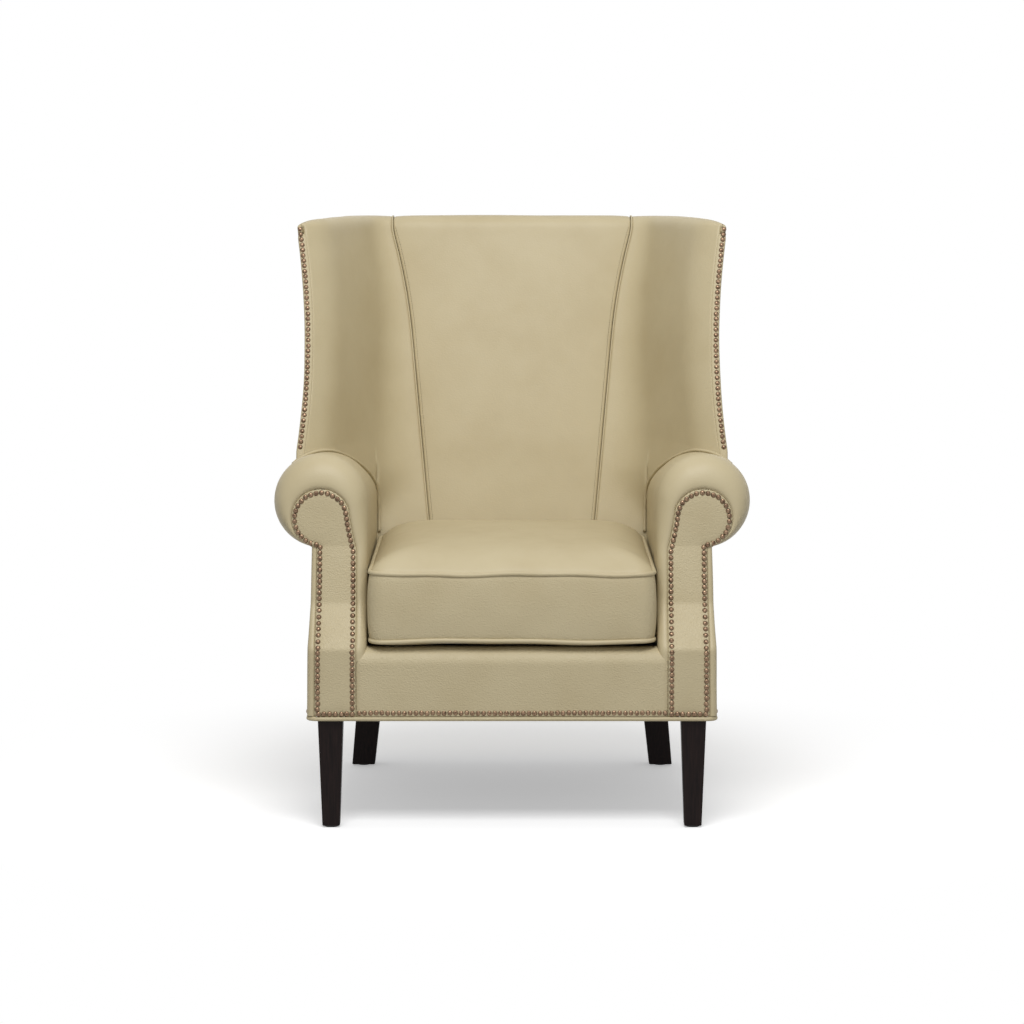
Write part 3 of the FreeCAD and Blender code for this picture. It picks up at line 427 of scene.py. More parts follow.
def noise_node(tree, place, scale, detail, rough):
    values = {"Vector": place, "Scale": scale, "Detail": detail, "Roughness": rough}
    return add_node(tree, "TexNoise", values).outputs["Fac"]


def ramp_node(tree, value, stops):
    node = add_node(tree, "ValToRGB", {"Fac": value})
    ramp = node.color_ramp
    while len(ramp.elements) < len(stops):
        ramp.elements.new(0.5)
    for element, (position, colour) in zip(ramp.elements, stops):
        element.position = position
        element.color = (*colour, 1.0)
    return node.outputs["Color"]


def math_node(tree, kind, *values):
    node = add_node(tree, "Math", dict(enumerate(values)))
    node.operation = kind
    return node.outputs["Value"]


def bump_node(tree, height, strength, distance):
    values = {"Height": height, "Strength": strength, "Distance": distance}
    return add_node(tree, "Bump", values).outputs["Normal"]


def stretched(tree, place, factors):
    return add_node(tree, "Mapping", {"Vector": place, "Scale": factors}).outputs["Vector"]


LEATHER = (0.490, 0.415, 0.256)
LEATHER_DARK = (0.470, 0.394, 0.238)
LEATHER_LIGHT = (0.508, 0.434, 0.272)
BRONZE = (0.215, 0.140, 0.088)
BRONZE_DARK = (0.070, 0.042, 0.026)
BRONZE_RUBBED = (0.390, 0.270, 0.175)


def leather_material(name, grain, depth, cell):
    """Pebbled leather, with soft mottling and a little unevenness in its gloss."""
    material, tree, shader, place = new_material(name)
    mottle = noise_node(tree, place, scale=9.0, detail=4.0, rough=0.55)
    colour = ramp_node(tree, mottle, [(0.30, LEATHER_DARK), (0.50, LEATHER), (0.72, LEATHER_LIGHT)])
    cells = add_node(tree, "TexVoronoi", {"Vector": place, "Scale": cell})
    cells.feature = "SMOOTH_F1"
    cells.inputs["Smoothness"].default_value = 0.35
    streaks = stretched(tree, place, (1.0, 1.0, 1.6))
    creases = noise_node(tree, streaks, scale=0.6 * cell, detail=2.0, rough=0.45)
    fold = math_node(tree, "MULTIPLY", creases, 2.2)
    height = math_node(tree, "ADD", cells.outputs["Distance"], fold)
    gloss = noise_node(tree, place, scale=38.0, detail=2.0, rough=0.5)
    fill_in(tree, shader, {"Base Color": colour, "Normal": bump_node(tree, height, grain, depth), "IOR": 1.45,
                           "Roughness": math_node(tree, "MULTIPLY_ADD", gloss, 0.14, 0.42)})
    return material


def nail_material():
    """Antique bronze: a dark patina with brighter rubbed patches, spread at random by noise."""
    material, tree, shader, place = new_material("antique_bronze")
    patina = noise_node(tree, place, scale=260.0, detail=3.0, rough=0.6)
    colour = ramp_node(tree, patina, [(0.30, BRONZE_DARK), (0.52, BRONZE), (0.75, BRONZE_RUBBED)])
    bump = bump_node(tree, patina, strength=0.25, distance=0.0003)
    fill_in(tree, shader, {"Base Color": colour, "Metallic": 0.85, "Roughness": 0.32, "Normal": bump})
    return material


def wood_material(name, dark, light, grain_scale, roughness, gloss=0.5):
    """Straight grain running up the piece."""
    material, tree, shader, place = new_material(name)
    along = stretched(tree, place, (1.0, 1.0, 0.05))
    grain = noise_node(tree, along, scale=grain_scale, detail=5.0, rough=0.65)
    colour = ramp_node(tree, grain, [(0.35, dark), (0.68, light)])
    bump = bump_node(tree, grain, strength=0.35, distance=0.0004)
    fill_in(tree, shader, {"Base Color": colour, "Normal": bump, "Roughness": roughness,
                           "Specular IOR Level": gloss})
    return material


def plain_material(name, colour, roughness, metallic=0.0, scale=180.0, bump=0.2):
    """A material with a fine even texture, for the parts inside."""
    material, tree, shader, place = new_material(name)
    speck = noise_node(tree, place, scale=scale, detail=3.0, rough=0.6)
    darker = tuple(0.75 * c for c in colour)
    fill_in(tree, shader, {"Base Color": ramp_node(tree, speck, [(0.3, darker), (0.7, colour)]),
                           "Normal": bump_node(tree, speck, bump, distance=0.0004),
                           "Roughness": roughness, "Metallic": metallic})
    return material


MATERIALS = {
    "leather": leather_material("leather_smooth", grain=0.14, depth=0.0006, cell=380.0),
    "leather_grained": leather_material("leather_grained", grain=0.42, depth=0.0010, cell=430.0),
    "welt_leather": leather_material("leather_welt", grain=0.10, depth=0.0006, cell=420.0),
    "nail_bronze": nail_material(),
    "leg_wood": wood_material("espresso_wood", (0.005, 0.003, 0.003), (0.016, 0.009, 0.008),
                              grain_scale=330.0, roughness=0.42, gloss=0.12),
    "frame_wood": wood_material("frame_wood", (0.42, 0.30, 0.18), (0.66, 0.51, 0.34), grain_scale=90.0,
                                roughness=0.7),
    "steel": plain_material("spring_steel", (0.55, 0.55, 0.56), 0.35, metallic=1.0),
    "glide_plastic": plain_material("glide_plastic", (0.05, 0.05, 0.05), 0.6),
    "foam": plain_material("foam", (0.86, 0.82, 0.70), 0.95, scale=500.0, bump=0.6),
    "black_cloth": plain_material("black_cloth", (0.05, 0.05, 0.055), 0.9, scale=700.0, bump=0.5),
    "webbing": plain_material("webbing", (0.45, 0.38, 0.26), 0.85, scale=420.0, bump=0.5),
    "zipper_tape": plain_material("zipper_tape", (0.42, 0.37, 0.26), 0.85, scale=600.0, bump=0.5),
    "slider_metal": plain_material("slider_metal", (0.45, 0.33, 0.20), 0.35, metallic=1.0),
    "thread": plain_material("thread", (0.42, 0.36, 0.22), 0.7, scale=900.0),
}


def finish_nodes():
    """Every CAD node takes the material of its slot. The ones that are replaced stay hidden."""
    for entry in frame["record"]["subparts"]:
        node = frame["nodes"][entry["node"]]
        node.data.materials.clear()
        node.data.materials.append(MATERIALS[entry["material_slot"]])


def upholstery(piece, fill, *nodes):
    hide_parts(*nodes)


def both_sides(label, grid, fill, node, material="leather", **sewing):
    """The same sewn panel on the right and mirrored on the left."""
    for name, side in SIDES:
        piece = panel("%s_%s" % (name, label), mirrored(grid, side), material, flip=side < 0, **sewing)
        upholstery(piece, fill, "%s_%s" % (name, node))


# Inside back and wings

HEIGHTS = np.concatenate([np.linspace(DECK_TOP + 1, SEAT_LEVEL, 10), np.linspace(492, RIM, 44)])
CREST_CORNER = np.linspace(0.0, math.pi / 2, 10)[1:]
CREST_FLAT = np.linspace(0.0, 1.0, 7)[1:-1]
CREST_ROWS = 2 * len(CREST_CORNER) + len(CREST_FLAT) + 1
ABOVE_ARM = 672.0
BACK_BULGE = 8.0
BACK_PUFF = 3.0
PUFF_REACH = 30.0


def over_crest(front, back, rise):
    """Points from the top of a face, over the padded crest, to the seam behind."""
    front = np.array(front, float)
    run = np.array(back, float) - front
    depth = math.hypot(run[0], run[1])
    corner = min(rise, depth / 2)
    turn_up = [(corner * (1 - math.cos(t)), rise - corner * (1 - math.sin(t))) for t in CREST_CORNER]
    level = [(corner + (depth - 2 * corner) * share, rise) for share in CREST_FLAT]
    turn_down = [(depth - reach, height) for reach, height in turn_up[::-1]]
    profile = turn_up + level + turn_down + [(depth, 0.0)]
    return [front + run * (reach / depth) + np.array([0.0, 0.0, height]) for reach, height in profile]


def crested(front_at, back_at, rise_at, columns, lowest=None):
    """A grid over a face and its crest: columns run across, rows run up the face and over."""
    rows = []
    for height in HEIGHTS:
        share = min(1.0, (height - HEIGHTS[0]) / (ABOVE_ARM - HEIGHTS[0]))
        row = []
        for column in range(columns):
            foot = HEIGHTS[0] if lowest is None else lowest[column]
            row.append(front_at(column, height + (foot - HEIGHTS[0]) * (1 - share)))
        rows.append(row)
    tops = rows[-1]
    crest = [over_crest(tops[column], back_at(column), rise_at(column)) for column in range(columns)]
    for number in range(CREST_ROWS):
        rows.append([column[number] for column in crest])
    grid = np.array(rows)
    turn = slice(len(HEIGHTS) - 4, len(HEIGHTS) + 4)
    grid[turn] = eased(grid[turn], 3)
    return grid


def centre_point(share, height):
    """A point of the inside back's middle panel, share from -1 to 1 across it."""
    half = welt_across(height) - 1.0
    bulge = BACK_BULGE * min(1.0, max(0.0, (height - SEAT_LEVEL) / 170.0))
    back = inside_back(height) - bulge * (1 - share * share)
    return [share * half, back, tilted(height, back)]


def build_inside_back():
    shares = 2 * spread(71, 0.85) - 1

    def behind(column):
        back = outside_back(RIM)
        return [shares[column] * (welt_across(RIM) - 1.0), back, tilted(RIM, back)]

    grid = crested(lambda column, height: centre_point(shares[column], height), behind,
                   lambda column: RISE, len(shares))
    piece = panel("inside_back", grid, "leather", seams=("left", "right", "high"),
                  tuck=3.5, reach=1.7, puff=BACK_PUFF, puff_reach=PUFF_REACH, wave=0.8, wave_scale=120.0,
                  thickness=20.0)
    upholstery(piece, 0.8, "inside_back_panel")


WING_SHARES = spread(80, 0.75)
WING_PAD = 14.0
TIP_DROP = 13.0
TIP_REACH = 60.0
STRIP = 15.5
STRIP_IN = 1.5
HOLLOW = 77.0
HOLLOW_SLOPE = 0.08
FOOT_HOLLOW = 36.0
FOOT_FROM = 610.0
FOOT_RUN = 120.0
SHOULDER_ACROSS = 55.0
SHOULDER_BACK = 30.0
SHOULDER_RADIUS = 100.0
BURIED = 9.0


def wing_face(height):
    """The seat side of the right wing in plan, from the back welt to the nail strip."""
    across = welt_across(height)
    back = inside_back(height)
    edge, front = wing_edge(height)
    low_down = smooth((FOOT_FROM - height) / FOOT_RUN)
    root = HOLLOW - HOLLOW_SLOPE * (height - SEAT_LEVEL) + FOOT_HOLLOW * low_down
    points = [(across + 1.0, back), (across + root, back), (edge - SHOULDER_ACROSS, front + SHOULDER_BACK),
              (edge - STRIP, front + STRIP_IN)]
    first, second = np.subtract(points[1], points[0]), np.subtract(points[2], points[1])
    turn = math.acos(float(first @ second) / np.linalg.norm(first) / np.linalg.norm(second))
    root_radius = (0.9 - 0.76 * low_down) * (root - 1.8) / math.tan(turn / 2)
    path = rounded(points, [root_radius, SHOULDER_RADIUS])
    path = eased(resample(path, np.linspace(0, 1, 120)), 60)
    return resample(path, WING_SHARES)


def in_arm(x, y, height, depth):
    """Whether a place is inside the arm, at least a depth below its leather."""
    centre, middle, radius = roll_at(y)
    if x < ARM_INNER + depth:
        return False
    return height < middle or math.hypot(x - centre, height - middle) < radius - depth


def shell_corner(height):
    """The outside wing's rear corner in plan, before it is rounded."""
    back = outside_back(height)
    return side_face(back, COVER_SEAM) + 0.012 * (height - COVER_SEAM), back


def build_wings():
    faces = np.array([wing_face(height) for height in HEIGHTS])
    lowest = []
    for column in range(len(WING_SHARES)):
        buried = [height for height, face in zip(HEIGHTS, faces) if in_arm(*face[column], height, BURIED)]
        lowest.append(max(buried, default=HEIGHTS[0]))
    edge, front = wing_edge(RIM)
    corner = shell_corner(RIM)
    shell = rounded([(edge, front), corner, (welt_across(RIM) + 1.0, corner[1])], [REAR_CORNER])
    outer = resample(shell, 1 - WING_SHARES)

    def face_point(column, height):
        x = np.interp(height, HEIGHTS, faces[:, column, 0])
        y = np.interp(height, HEIGHTS, faces[:, column, 1])
        return [x, y, tilted(height, y)]

    def behind(column):
        x, y = outer[column]
        return [x, y, tilted(RIM, y)]

    def rise(column):
        from_tip = edge - faces[-1, column, 0]
        return RISE - TIP_DROP * max(0.0, 1 - from_tip / TIP_REACH) ** 1.6

    grid = crested(face_point, behind, rise, len(WING_SHARES), lowest)
    near_tip = np.array([smooth(1.25 * (1 - (edge - x) / TIP_REACH)) for x in faces[-1, :, 0]])
    crest = grid[len(HEIGHTS):]
    above = np.maximum(0.0, crest[:, :, 2] - grid[len(HEIGHTS) - 1, :, 2])
    crest[:, :, 1] += WING_LEAN * above * near_tip
    depth = np.linalg.norm(outer - faces[-1], axis=1)
    both_sides("wing_inside", grid, 0.8, "inside_wing", seams=("left", "right", "high"), tuck=2.5, reach=1.7,
               puff=1.5, puff_reach=25.0, wave=0.9, wave_scale=110.0, seed=2,
               thickness=np.minimum(WING_PAD, 0.49 * depth)[None, :, None])


def shell_path(height):
    """The outside of the right wing in plan, from its nail strip round the edge to the back seam."""
    edge, front = wing_edge(height)
    front -= 0.3
    corner = shell_corner(height)
    return rounded([(edge - STRIP - 1.0, front), (edge, front), corner, (BACK_SEAM + 0.5, corner[1])],
                   [3.0, REAR_CORNER], step=1.0)


def build_outside_wings():
    shares = np.concatenate([[0, 0.004, 0.012, 0.02, 0.026, 0.030, 0.034, 0.04, 0.05, 0.065, 0.085],
                             np.linspace(0.11, 1, 44)])
    grid = [[[x, y, tilted(height, y)] for x, y in resample(shell_path(height), shares)]
            for height in np.linspace(COVER_SEAM + 2, RIM, 60)]
    both_sides("wing_outside", grid, 0.4, "outside_wing_cover", seams=("left", "right", "high"), tuck=2.0,
               reach=3.0, puff=1.2, wave=0.8, seed=3)


# Arms

NEAR_DEPTHS = (0, 0.7, 1.8, 3.5, 6, 9, 13, 18, 24, 30, 37, 44, 51, 60)
STEM_FOOT = 345.0
STEM_REACH = 18.0
SCROLL_REACH = 51.0
NOTCH_REACH = 27.0
UNDER_ROLL = np.array([-0.7, 0.8])


def neck_arc(count):
    """The facing's inner outline from its straight side to its scroll."""
    end = scroll_point(NECK_ANGLE)
    start = np.array([FACING_INNER, NECK_FOOT])
    middle = (start + end) / 2 + np.array([NECK_BOW, 0.0])
    shares = np.linspace(0, 1, count)[:, None]
    control = 2 * middle - (start + end) / 2
    return (1 - shares) ** 2 * start + 2 * shares * (1 - shares) * control + shares ** 2 * end


def scroll_point(angle):
    turn = math.radians(angle)
    return np.array([SCROLL_ACROSS + SCROLL * math.cos(turn), SCROLL_HEIGHT + SCROLL * math.sin(turn)])


def arm_outline():
    """Along the arm's section: a point of the facing's outline, its place on the arm behind, and the
    depth over which the one turns into the other."""
    pairs = []
    low_stem = np.linspace(DECK_TOP - 26, DECK_TOP + 4, 6)
    for height in np.concatenate([low_stem, np.linspace(STEM_FOOT, NECK_FOOT, 18)]):
        pairs.append(((FACING_INNER, height), ("stem", height), STEM_REACH))
    neck = neck_arc(10)[1:]
    for number, point in enumerate(neck):
        share = (number + 1) / len(neck)
        height = NECK_FOOT + (ROLL_HEIGHT - NECK_FOOT) * share
        depth = STEM_REACH + (SCROLL_REACH - STEM_REACH) * share ** 1.5
        pairs.append((tuple(point), ("stem", height), depth))
    for share in np.linspace(0, 1, 56)[1:]:
        angle = NECK_ANGLE + (NOTCH_ANGLE - NECK_ANGLE) * share
        depth = SCROLL_REACH - (SCROLL_REACH - NOTCH_REACH) * max(0.0, (share - 0.8) / 0.2)
        pairs.append((tuple(scroll_point(angle)), ("roll", 180.0 - 270.0 * share), depth))
    for inward in (3.0, 8.0, 16.0):
        notch = scroll_point(NOTCH_ANGLE) + inward * UNDER_ROLL
        pairs.append((tuple(notch), ("under", inward), NOTCH_REACH))
    return pairs


def arm_body(kind, value, back):
    """A point of the full arm at a distance back."""
    centre, height, radius = roll_at(back)
    if kind == "stem":
        share = (value - NECK_FOOT) / (ROLL_HEIGHT - NECK_FOOT)
        if share > 0:
            value = NECK_FOOT + share * (height - NECK_FOOT)
        return np.array([centre - radius, value])
    if kind == "roll":
        turn = math.radians(value)
        return np.array([centre + radius * math.cos(turn), height + radius * math.sin(turn)])
    return np.array([centre, height - radius]) + value * UNDER_ROLL


def build_arm_pads():
    pairs = arm_outline()
    rows = []
    for depth in NEAR_DEPTHS:
        row = []
        for point, (kind, value), reach in pairs:
            back = facing_front(point[1]) + depth
            share = min(1.0, depth / reach)
            ease = math.sqrt(max(0.0, 1 - (1 - share) ** 2))
            place = np.array(point) + (arm_body(kind, value, back) - np.array(point)) * ease
            row.append([place[0], back, place[1]])
        rows.append(row)
    for share in np.linspace(0, 1, 46)[1:]:
        row = []
        for point, (kind, value), _reach in pairs:
            start = facing_front(point[1]) + NEAR_DEPTHS[-1]
            back = start + (ROLL_END - start) * share
            place = arm_body(kind, value, back)
            row.append([place[0], back, place[1]])
        rows.append(row)
    both_sides("arm", soften(np.array(rows), 3), 0.85, "arm_pad", seams=("low",), tuck=2.5, reach=4.0,
               puff=1.0, puff_reach=20.0, wave=0.9, wave_scale=100.0, seed=4, thickness=6.0)


def soften(grid, passes):
    for _ in range(passes):
        grid[1:-1, 1:-1] += 0.25 * (grid[:-2, 1:-1] + grid[2:, 1:-1] + grid[1:-1, :-2] + grid[1:-1, 2:]
                                    - 4 * grid[1:-1, 1:-1]) * 0.5
    return grid


def keyhole_sides(height):
    """The facing's inner and outer edge at a height."""
    rise = height - SCROLL_HEIGHT
    inner = FACING_INNER
    neck_top = scroll_point(NECK_ANGLE)[1]
    if height > NECK_FOOT:
        neck = neck_arc(30)
        inner = float(np.interp(height, neck[:, 1], neck[:, 0]))
    if height > neck_top:
        inner = SCROLL_ACROSS - math.sqrt(max(0.0, SCROLL ** 2 - rise ** 2))
    notch = scroll_point(NOTCH_ANGLE)
    outer = FACING_OUTER - FACING_TAPER * min(1.0, (height - BASE_BOTTOM) / (notch[1] - 2 - BASE_BOTTOM))
    if height > notch[1]:
        outer = SCROLL_ACROSS + math.sqrt(max(0.0, SCROLL ** 2 - rise ** 2))
    return inner, outer


def facing_relief(edge):
    """How proud a facing stands, by distance from its edge: turned in, pressed at the nails, then full."""
    lip = -1.8 * math.exp(-(edge / 1.6) ** 2)
    nailed = -0.7 * math.exp(-((edge - 6.0) / 3.0) ** 2)
    full = 1.6 * (1 - math.exp(-max(0.0, edge - 8.0) / 9.0))
    return lip + nailed + full


def build_facings():
    notch = scroll_point(NOTCH_ANGLE)[1]
    heights = list(np.linspace(COVER_FOOT, notch - 1.0, 64))
    heights += [SCROLL_HEIGHT + SCROLL * math.sin(math.radians(angle))
                for angle in np.linspace(NOTCH_ANGLE, 88.0, 44)]
    outline = np.array([[*keyhole_sides(height), height] for height in heights])
    loop = np.concatenate([outline[:, [0, 2]], outline[::-1][:, [1, 2]]])
    dense = resample(np.concatenate([loop, loop[:1]]), np.linspace(0, 1, 700))
    grid = []
    for inner, outer, height in outline:
        row = []
        for share in spread(25, 0.7):
            x = inner + (outer - inner) * share
            edge = float(np.min(np.hypot(dense[:, 0] - x, dense[:, 1] - height)))
            row.append([x, facing_front(height) - facing_relief(edge), height])
        grid.append(row)
    both_sides("facing", np.array(grid), 0.4, "arm_facing", material="leather_grained", wave=0.4,
               wave_scale=60.0, seed=5, thickness=7.0)


def build_outside_arms():
    shares = np.concatenate([np.linspace(0, 0.04, 12)[:-1], np.linspace(0.04, 1, 60)])
    grid = []
    for height in (COVER_FOOT, BASE_BOTTOM + 3, *np.linspace(214, COVER_SEAM + 3, 60)):
        front = facing_front(height) + 0.5
        rear = outside_back(height)
        start = (FACING_OUTER + 0.3 - FACING_TAPER * (height - BASE_BOTTOM) / 312, front)
        corner = (side_face(facing_front(height), height), front)
        points = [start, corner, (side_face(rear, height), rear), (BACK_SEAM + 0.5, rear)]
        path = rounded(points, [0.8 * (corner[0] - start[0]), REAR_CORNER], step=0.8)
        grid.append([[x, y, height] for x, y in resample(path, shares)])
    both_sides("arm_outside", grid, 0.4, "outside_arm_cover", seams=("left", "right"), tuck=2.0, reach=3.0,
               puff=0.8, wave=0.7, seed=6)


def build_front_border():
    """The padded panel on the front rail, rolled over the rail's top edge."""
    corner = 28.0
    half = FACING_INNER - 0.5
    profile = [(0.0, COVER_FOOT)]
    profile += [(0.0, z) for z in np.linspace(BASE_BOTTOM + 4, DECK_TOP - corner, 26)]
    profile += [(corner * (1 - math.cos(t)), DECK_TOP - corner * (1 - math.sin(t)))
                for t in np.linspace(0, math.pi / 2, 14)[1:]]
    profile += [(y, DECK_TOP) for y in (34.0, 40.0, 45.0)]
    shares = 2 * spread(91, 0.6) - 1
    grid = np.array([[[half * share, y, z] for share in shares] for y, z in profile])
    piece = panel("front_rail_cover", grid, "leather_grained", seams=("left", "right"), tuck=2.5,
                  reach=4.0, puff=0.6, puff_reach=20.0, wave=0.7, wave_scale=80.0, seed=7, thickness=4.0)
    upholstery(piece, 0.5, "front_border")


def build_outside_back():
    shares = 2 * spread(61, 0.6) - 1
    fullness = 2.5
    grid = []
    for height in (COVER_FOOT, BASE_BOTTOM + 4, *np.linspace(218, RIM - 4, 80), RIM):
        back = outside_back(height)
        bow = fullness * math.sin(math.pi * (height - BASE_BOTTOM) / (RIM - BASE_BOTTOM))
        grid.append([[BACK_SEAM * share, back + bow * (1 - share ** 4), tilted(height, back)]
                     for share in shares])
    piece = panel("back_outside", grid, "leather", seams=("left", "right", "high"), tuck=2.5,
                  reach=4.0, puff=0.8, puff_reach=30.0, wave=0.8, seed=8, flip=True)
    upholstery(piece, 0.4, "outside_back_cover")


# Welts

def wing_face_back(across, height):
    """How far back the wing's seat side is at a distance from the middle, at a height."""
    path = wing_face(height)
    return float(np.interp(across, path[:, 0], path[:, 1]))


WELT_START = 478.0
STITCH_AWAY = 7.0
STITCH_START = 486.0
STITCH_PITCH = 4.6
STITCH = 3.0


def arm_welt_points():
    """Where the arm meets the wing: up the corner behind the cushion and over the roll."""
    clear = WELT_RADIUS + 1.3
    points = []
    for height in (WELT_START, 500, 522):
        across = ARM_INNER - 2.0 - clear
        points.append((across, wing_face_back(across, height) - clear, height))
    for angle in np.linspace(186, 45, 30):
        turn = math.radians(angle)
        back = 420.0
        for _ in range(14):
            centre, height, radius = roll_at(back)
            across = centre + (radius + clear) * math.cos(turn)
            height += (radius + clear) * math.sin(turn)
            back += 0.6 * (wing_face_back(across, height) - clear - back)
        points.append((across, back, height))
    return resample(points, np.linspace(0, 1, 90))


def back_welt_points():
    points = []
    for height in np.linspace(WELT_START, RIM, 60):
        back = inside_back(height) + 1.2
        points.append((welt_across(height) + 0.6, back, tilted(height, back)))
    back = outside_back(RIM)
    points += over_crest(points[-1], (welt_across(RIM), back, tilted(RIM, back)), RISE + 0.8)
    return eased(np.array(points), 4)


def build_welts():
    lines = (("back", back_welt_points(), SEAM_CORD), ("arm", arm_welt_points(), WELT_RADIUS))
    for name, side in SIDES:
        for label, line, radius in lines:
            piece = welt("%s_%s_cord" % (name, label), mirrored(line, side), radius)
            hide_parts("%s_%s_welt" % (name, label))
    height = BASE_BOTTOM - 3.2
    rear = outside_back(height) - 2.0
    corners = [(side_face(0, height) - 2, 2.0), (side_face(rear, height) - 2, rear)]
    points = [(0.0, 2.0)] + corners + [(-x, y) for x, y in corners[::-1]] + [(0.0, 2.0)]
    loop = rounded(points, [14.0, REAR_CORNER - 2, REAR_CORNER - 2, 14.0], step=4.0)
    loop = resample(loop, np.linspace(0, 1, 401)[:-1])
    piece = welt("base_cord", [(x, y, height) for x, y in loop], EDGE_WELT, closed=True)
    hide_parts("base_welt")


def build_topstitch():
    """Short stitches along the middle panel, beside each back welt."""
    rng = random.Random(3)
    puff = BACK_PUFF * (1 - math.exp(-STITCH_AWAY / PUFF_REACH)) + 0.2
    points = []
    faces = []
    for side in (-1, 1):
        height = STITCH_START
        while height < RIM + 4:
            share = side * (1 - STITCH_AWAY / welt_across(height))
            ends = [np.array(centre_point(share, height + step)) for step in (0.0, STITCH)]
            for place in ends:
                place[1] -= puff
            ends = [ends[0], ends[0] * 0.5 + ends[1] * 0.5 + np.array([0, -0.35, 0]), ends[1]]
            rings, ring_faces = tube_mesh(ends, 0.50 + 0.06 * rng.random(), closed=False, sides=6)
            faces += [tuple(index + len(points) for index in face) for face in ring_faces]
            points += rings
            height += STITCH_PITCH
    piece = make("back_topstitch", points, faces, "thread")


# Seat cushion

EDGE_RINGS = (0, 0.006, 0.014, 0.024, 0.036, 0.05, 0.066, 0.085)
BAND_SWELL = 5.0


def wave_of(x, top):
    """The gentle waver of a cushion seam along the front, in millimetres."""
    if top:
        return 1.3 * math.sin(x / 47.0 + 0.6) + 0.8 * math.sin(x / 21.0 + 2.0)
    return 1.6 * math.sin(x / 70.0 + 2.6) + 0.7 * math.sin(x / 29.0)


def cushion_outline(inset, count):
    """Points round the cushion in plan, starting in the middle of its right side."""
    half_front = CUSHION_HALF - inset
    half_rear = half_front - CUSHION_TAPER
    front = CUSHION_FRONT + inset
    rear = CUSHION_REAR - inset
    middle = ((half_front + half_rear) / 2, (front + rear) / 2)
    points = [middle, (half_rear, rear), (-half_rear, rear), (-half_front, front), (half_front, front),
              middle]
    radii = [radius - 0.5 * inset for radius in (REAR_RADIUS, REAR_RADIUS, FRONT_RADIUS, FRONT_RADIUS)]
    return resample(rounded(points, radii, step=2.0), np.linspace(0, 1, count + 1)[:-1])


def seam_height(x, y, top):
    base = CUSHION_HIGH_SEAM if top else CUSHION_LOW_SEAM
    near_front = max(0.0, 1 - (y - CUSHION_FRONT) / 120.0)
    return base + wave_of(x, top) * near_front


def cushion_panel(name, top):
    """The crowned top or bottom of the cushion, as rings shrinking towards its middle."""
    outline = cushion_outline(0.5, 240)
    middle = np.array([0.0, (CUSHION_FRONT + CUSHION_REAR) / 2])
    if top:
        level, sign, crown, reach, wave = CUSHION_HIGH_SEAM, 1, CUSHION_CROWN, 0.42, 1.0
    else:
        level, sign, crown, reach, wave = CUSHION_LOW_SEAM, -1, UNDERSIDE_CROWN, 0.25, 0.3
    grid = []
    for share in (*EDGE_RINGS, *np.linspace(0.11, 0.995, 40)):
        lift = 1 - math.exp(-share / (0.3 * reach))
        dome = 1 - (1 - min(1.0, share / 0.9)) ** 2
        height = 1.0 + crown * (0.84 * lift + 0.16 * dome)
        ring = []
        for x, y in outline:
            place = middle + (np.array([x, y]) - middle) * (1 - share)
            waver = (seam_height(x, y, top) - level) * (1 - share) ** 2
            ring.append([place[0], place[1], level + waver + sign * height])
        grid.append(ring)
    return panel(name, grid, "leather", "seat_cushion", seams=("low",), tuck=2.0, reach=4.0,
                 wave=wave, wave_scale=85.0, seed=9, closed=True, flip=not top)


def build_cushion():
    upholstery(cushion_panel("cushion_top", True), 0.8, "cushion_top_panel")
    upholstery(cushion_panel("cushion_underside", False), 0.8, "cushion_bottom_panel")
    outline = cushion_outline(0.0, 300)
    normals = np.roll(outline, -1, axis=0) - np.roll(outline, 1, axis=0)
    normals = np.stack([normals[:, 1], -normals[:, 0]], axis=1)
    normals /= np.linalg.norm(normals, axis=1, keepdims=True)
    grid = []
    for share in spread(27, 0.6):
        row = []
        for (x, y), normal in zip(outline, normals):
            low_edge = seam_height(x, y, False)
            swell = BAND_SWELL * math.sin(math.pi * share) ** 0.6
            if y > CUSHION_REAR - 20:
                swell *= 0.4
            place = np.array([x, y]) + normal * swell
            row.append([place[0], place[1], low_edge + (seam_height(x, y, True) - low_edge) * share])
        grid.append(row)
    band = panel("cushion_band", grid, "leather_grained", "seat_cushion", seams=("low", "high"),
                 tuck=1.5, reach=5.0, wave=0.9, wave_scale=60.0, seed=10, closed=True)
    upholstery(band, 0.8, "cushion_boxing")
    line = cushion_outline(0.0, 320)
    for label, is_top in (("top", True), ("bottom", False)):
        points = [(x, y, seam_height(x, y, is_top)) for x, y in line]
        piece = welt("cushion_%s_cord" % label, points, EDGE_WELT, "seat_cushion", closed=True)
        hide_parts("cushion_%s_welt" % label)


# Nails and legs

NAIL_PROFILE = [(0.22, 2.95), (0.55, 2.55), (0.80, 1.85), (0.94, 1.05), (1.0, 0.35), (1.0, -0.4)]
NAIL_SIDES = 14


def nail_places(node):
    """The seat and direction of every nail of a node, found from its solids."""
    shape = bmesh.new()
    shape.from_mesh(node.data)
    bmesh.ops.remove_doubles(shape, verts=shape.verts, dist=1e-5)
    seen = set()
    places = []
    for start in shape.verts:
        if start in seen:
            continue
        seen.add(start)
        island = [start]
        for vertex in island:
            for edge in vertex.link_edges:
                other = edge.other_vert(vertex)
                if other not in seen:
                    seen.add(other)
                    island.append(other)
        cloud = np.array([vertex.co[:] for vertex in island]) / MM
        away = np.linalg.norm(cloud - cloud.mean(axis=0), axis=1)
        tip = cloud[np.argmax(away)]
        shank = cloud[np.linalg.norm(cloud - tip, axis=1) < 1.7].mean(axis=0)
        apex = cloud[np.argmax(np.linalg.norm(cloud - shank, axis=1))]
        axis = (apex - shank) / np.linalg.norm(apex - shank)
        places.append((shank + axis * NAIL_SHANK, axis))
    shape.free()
    return places


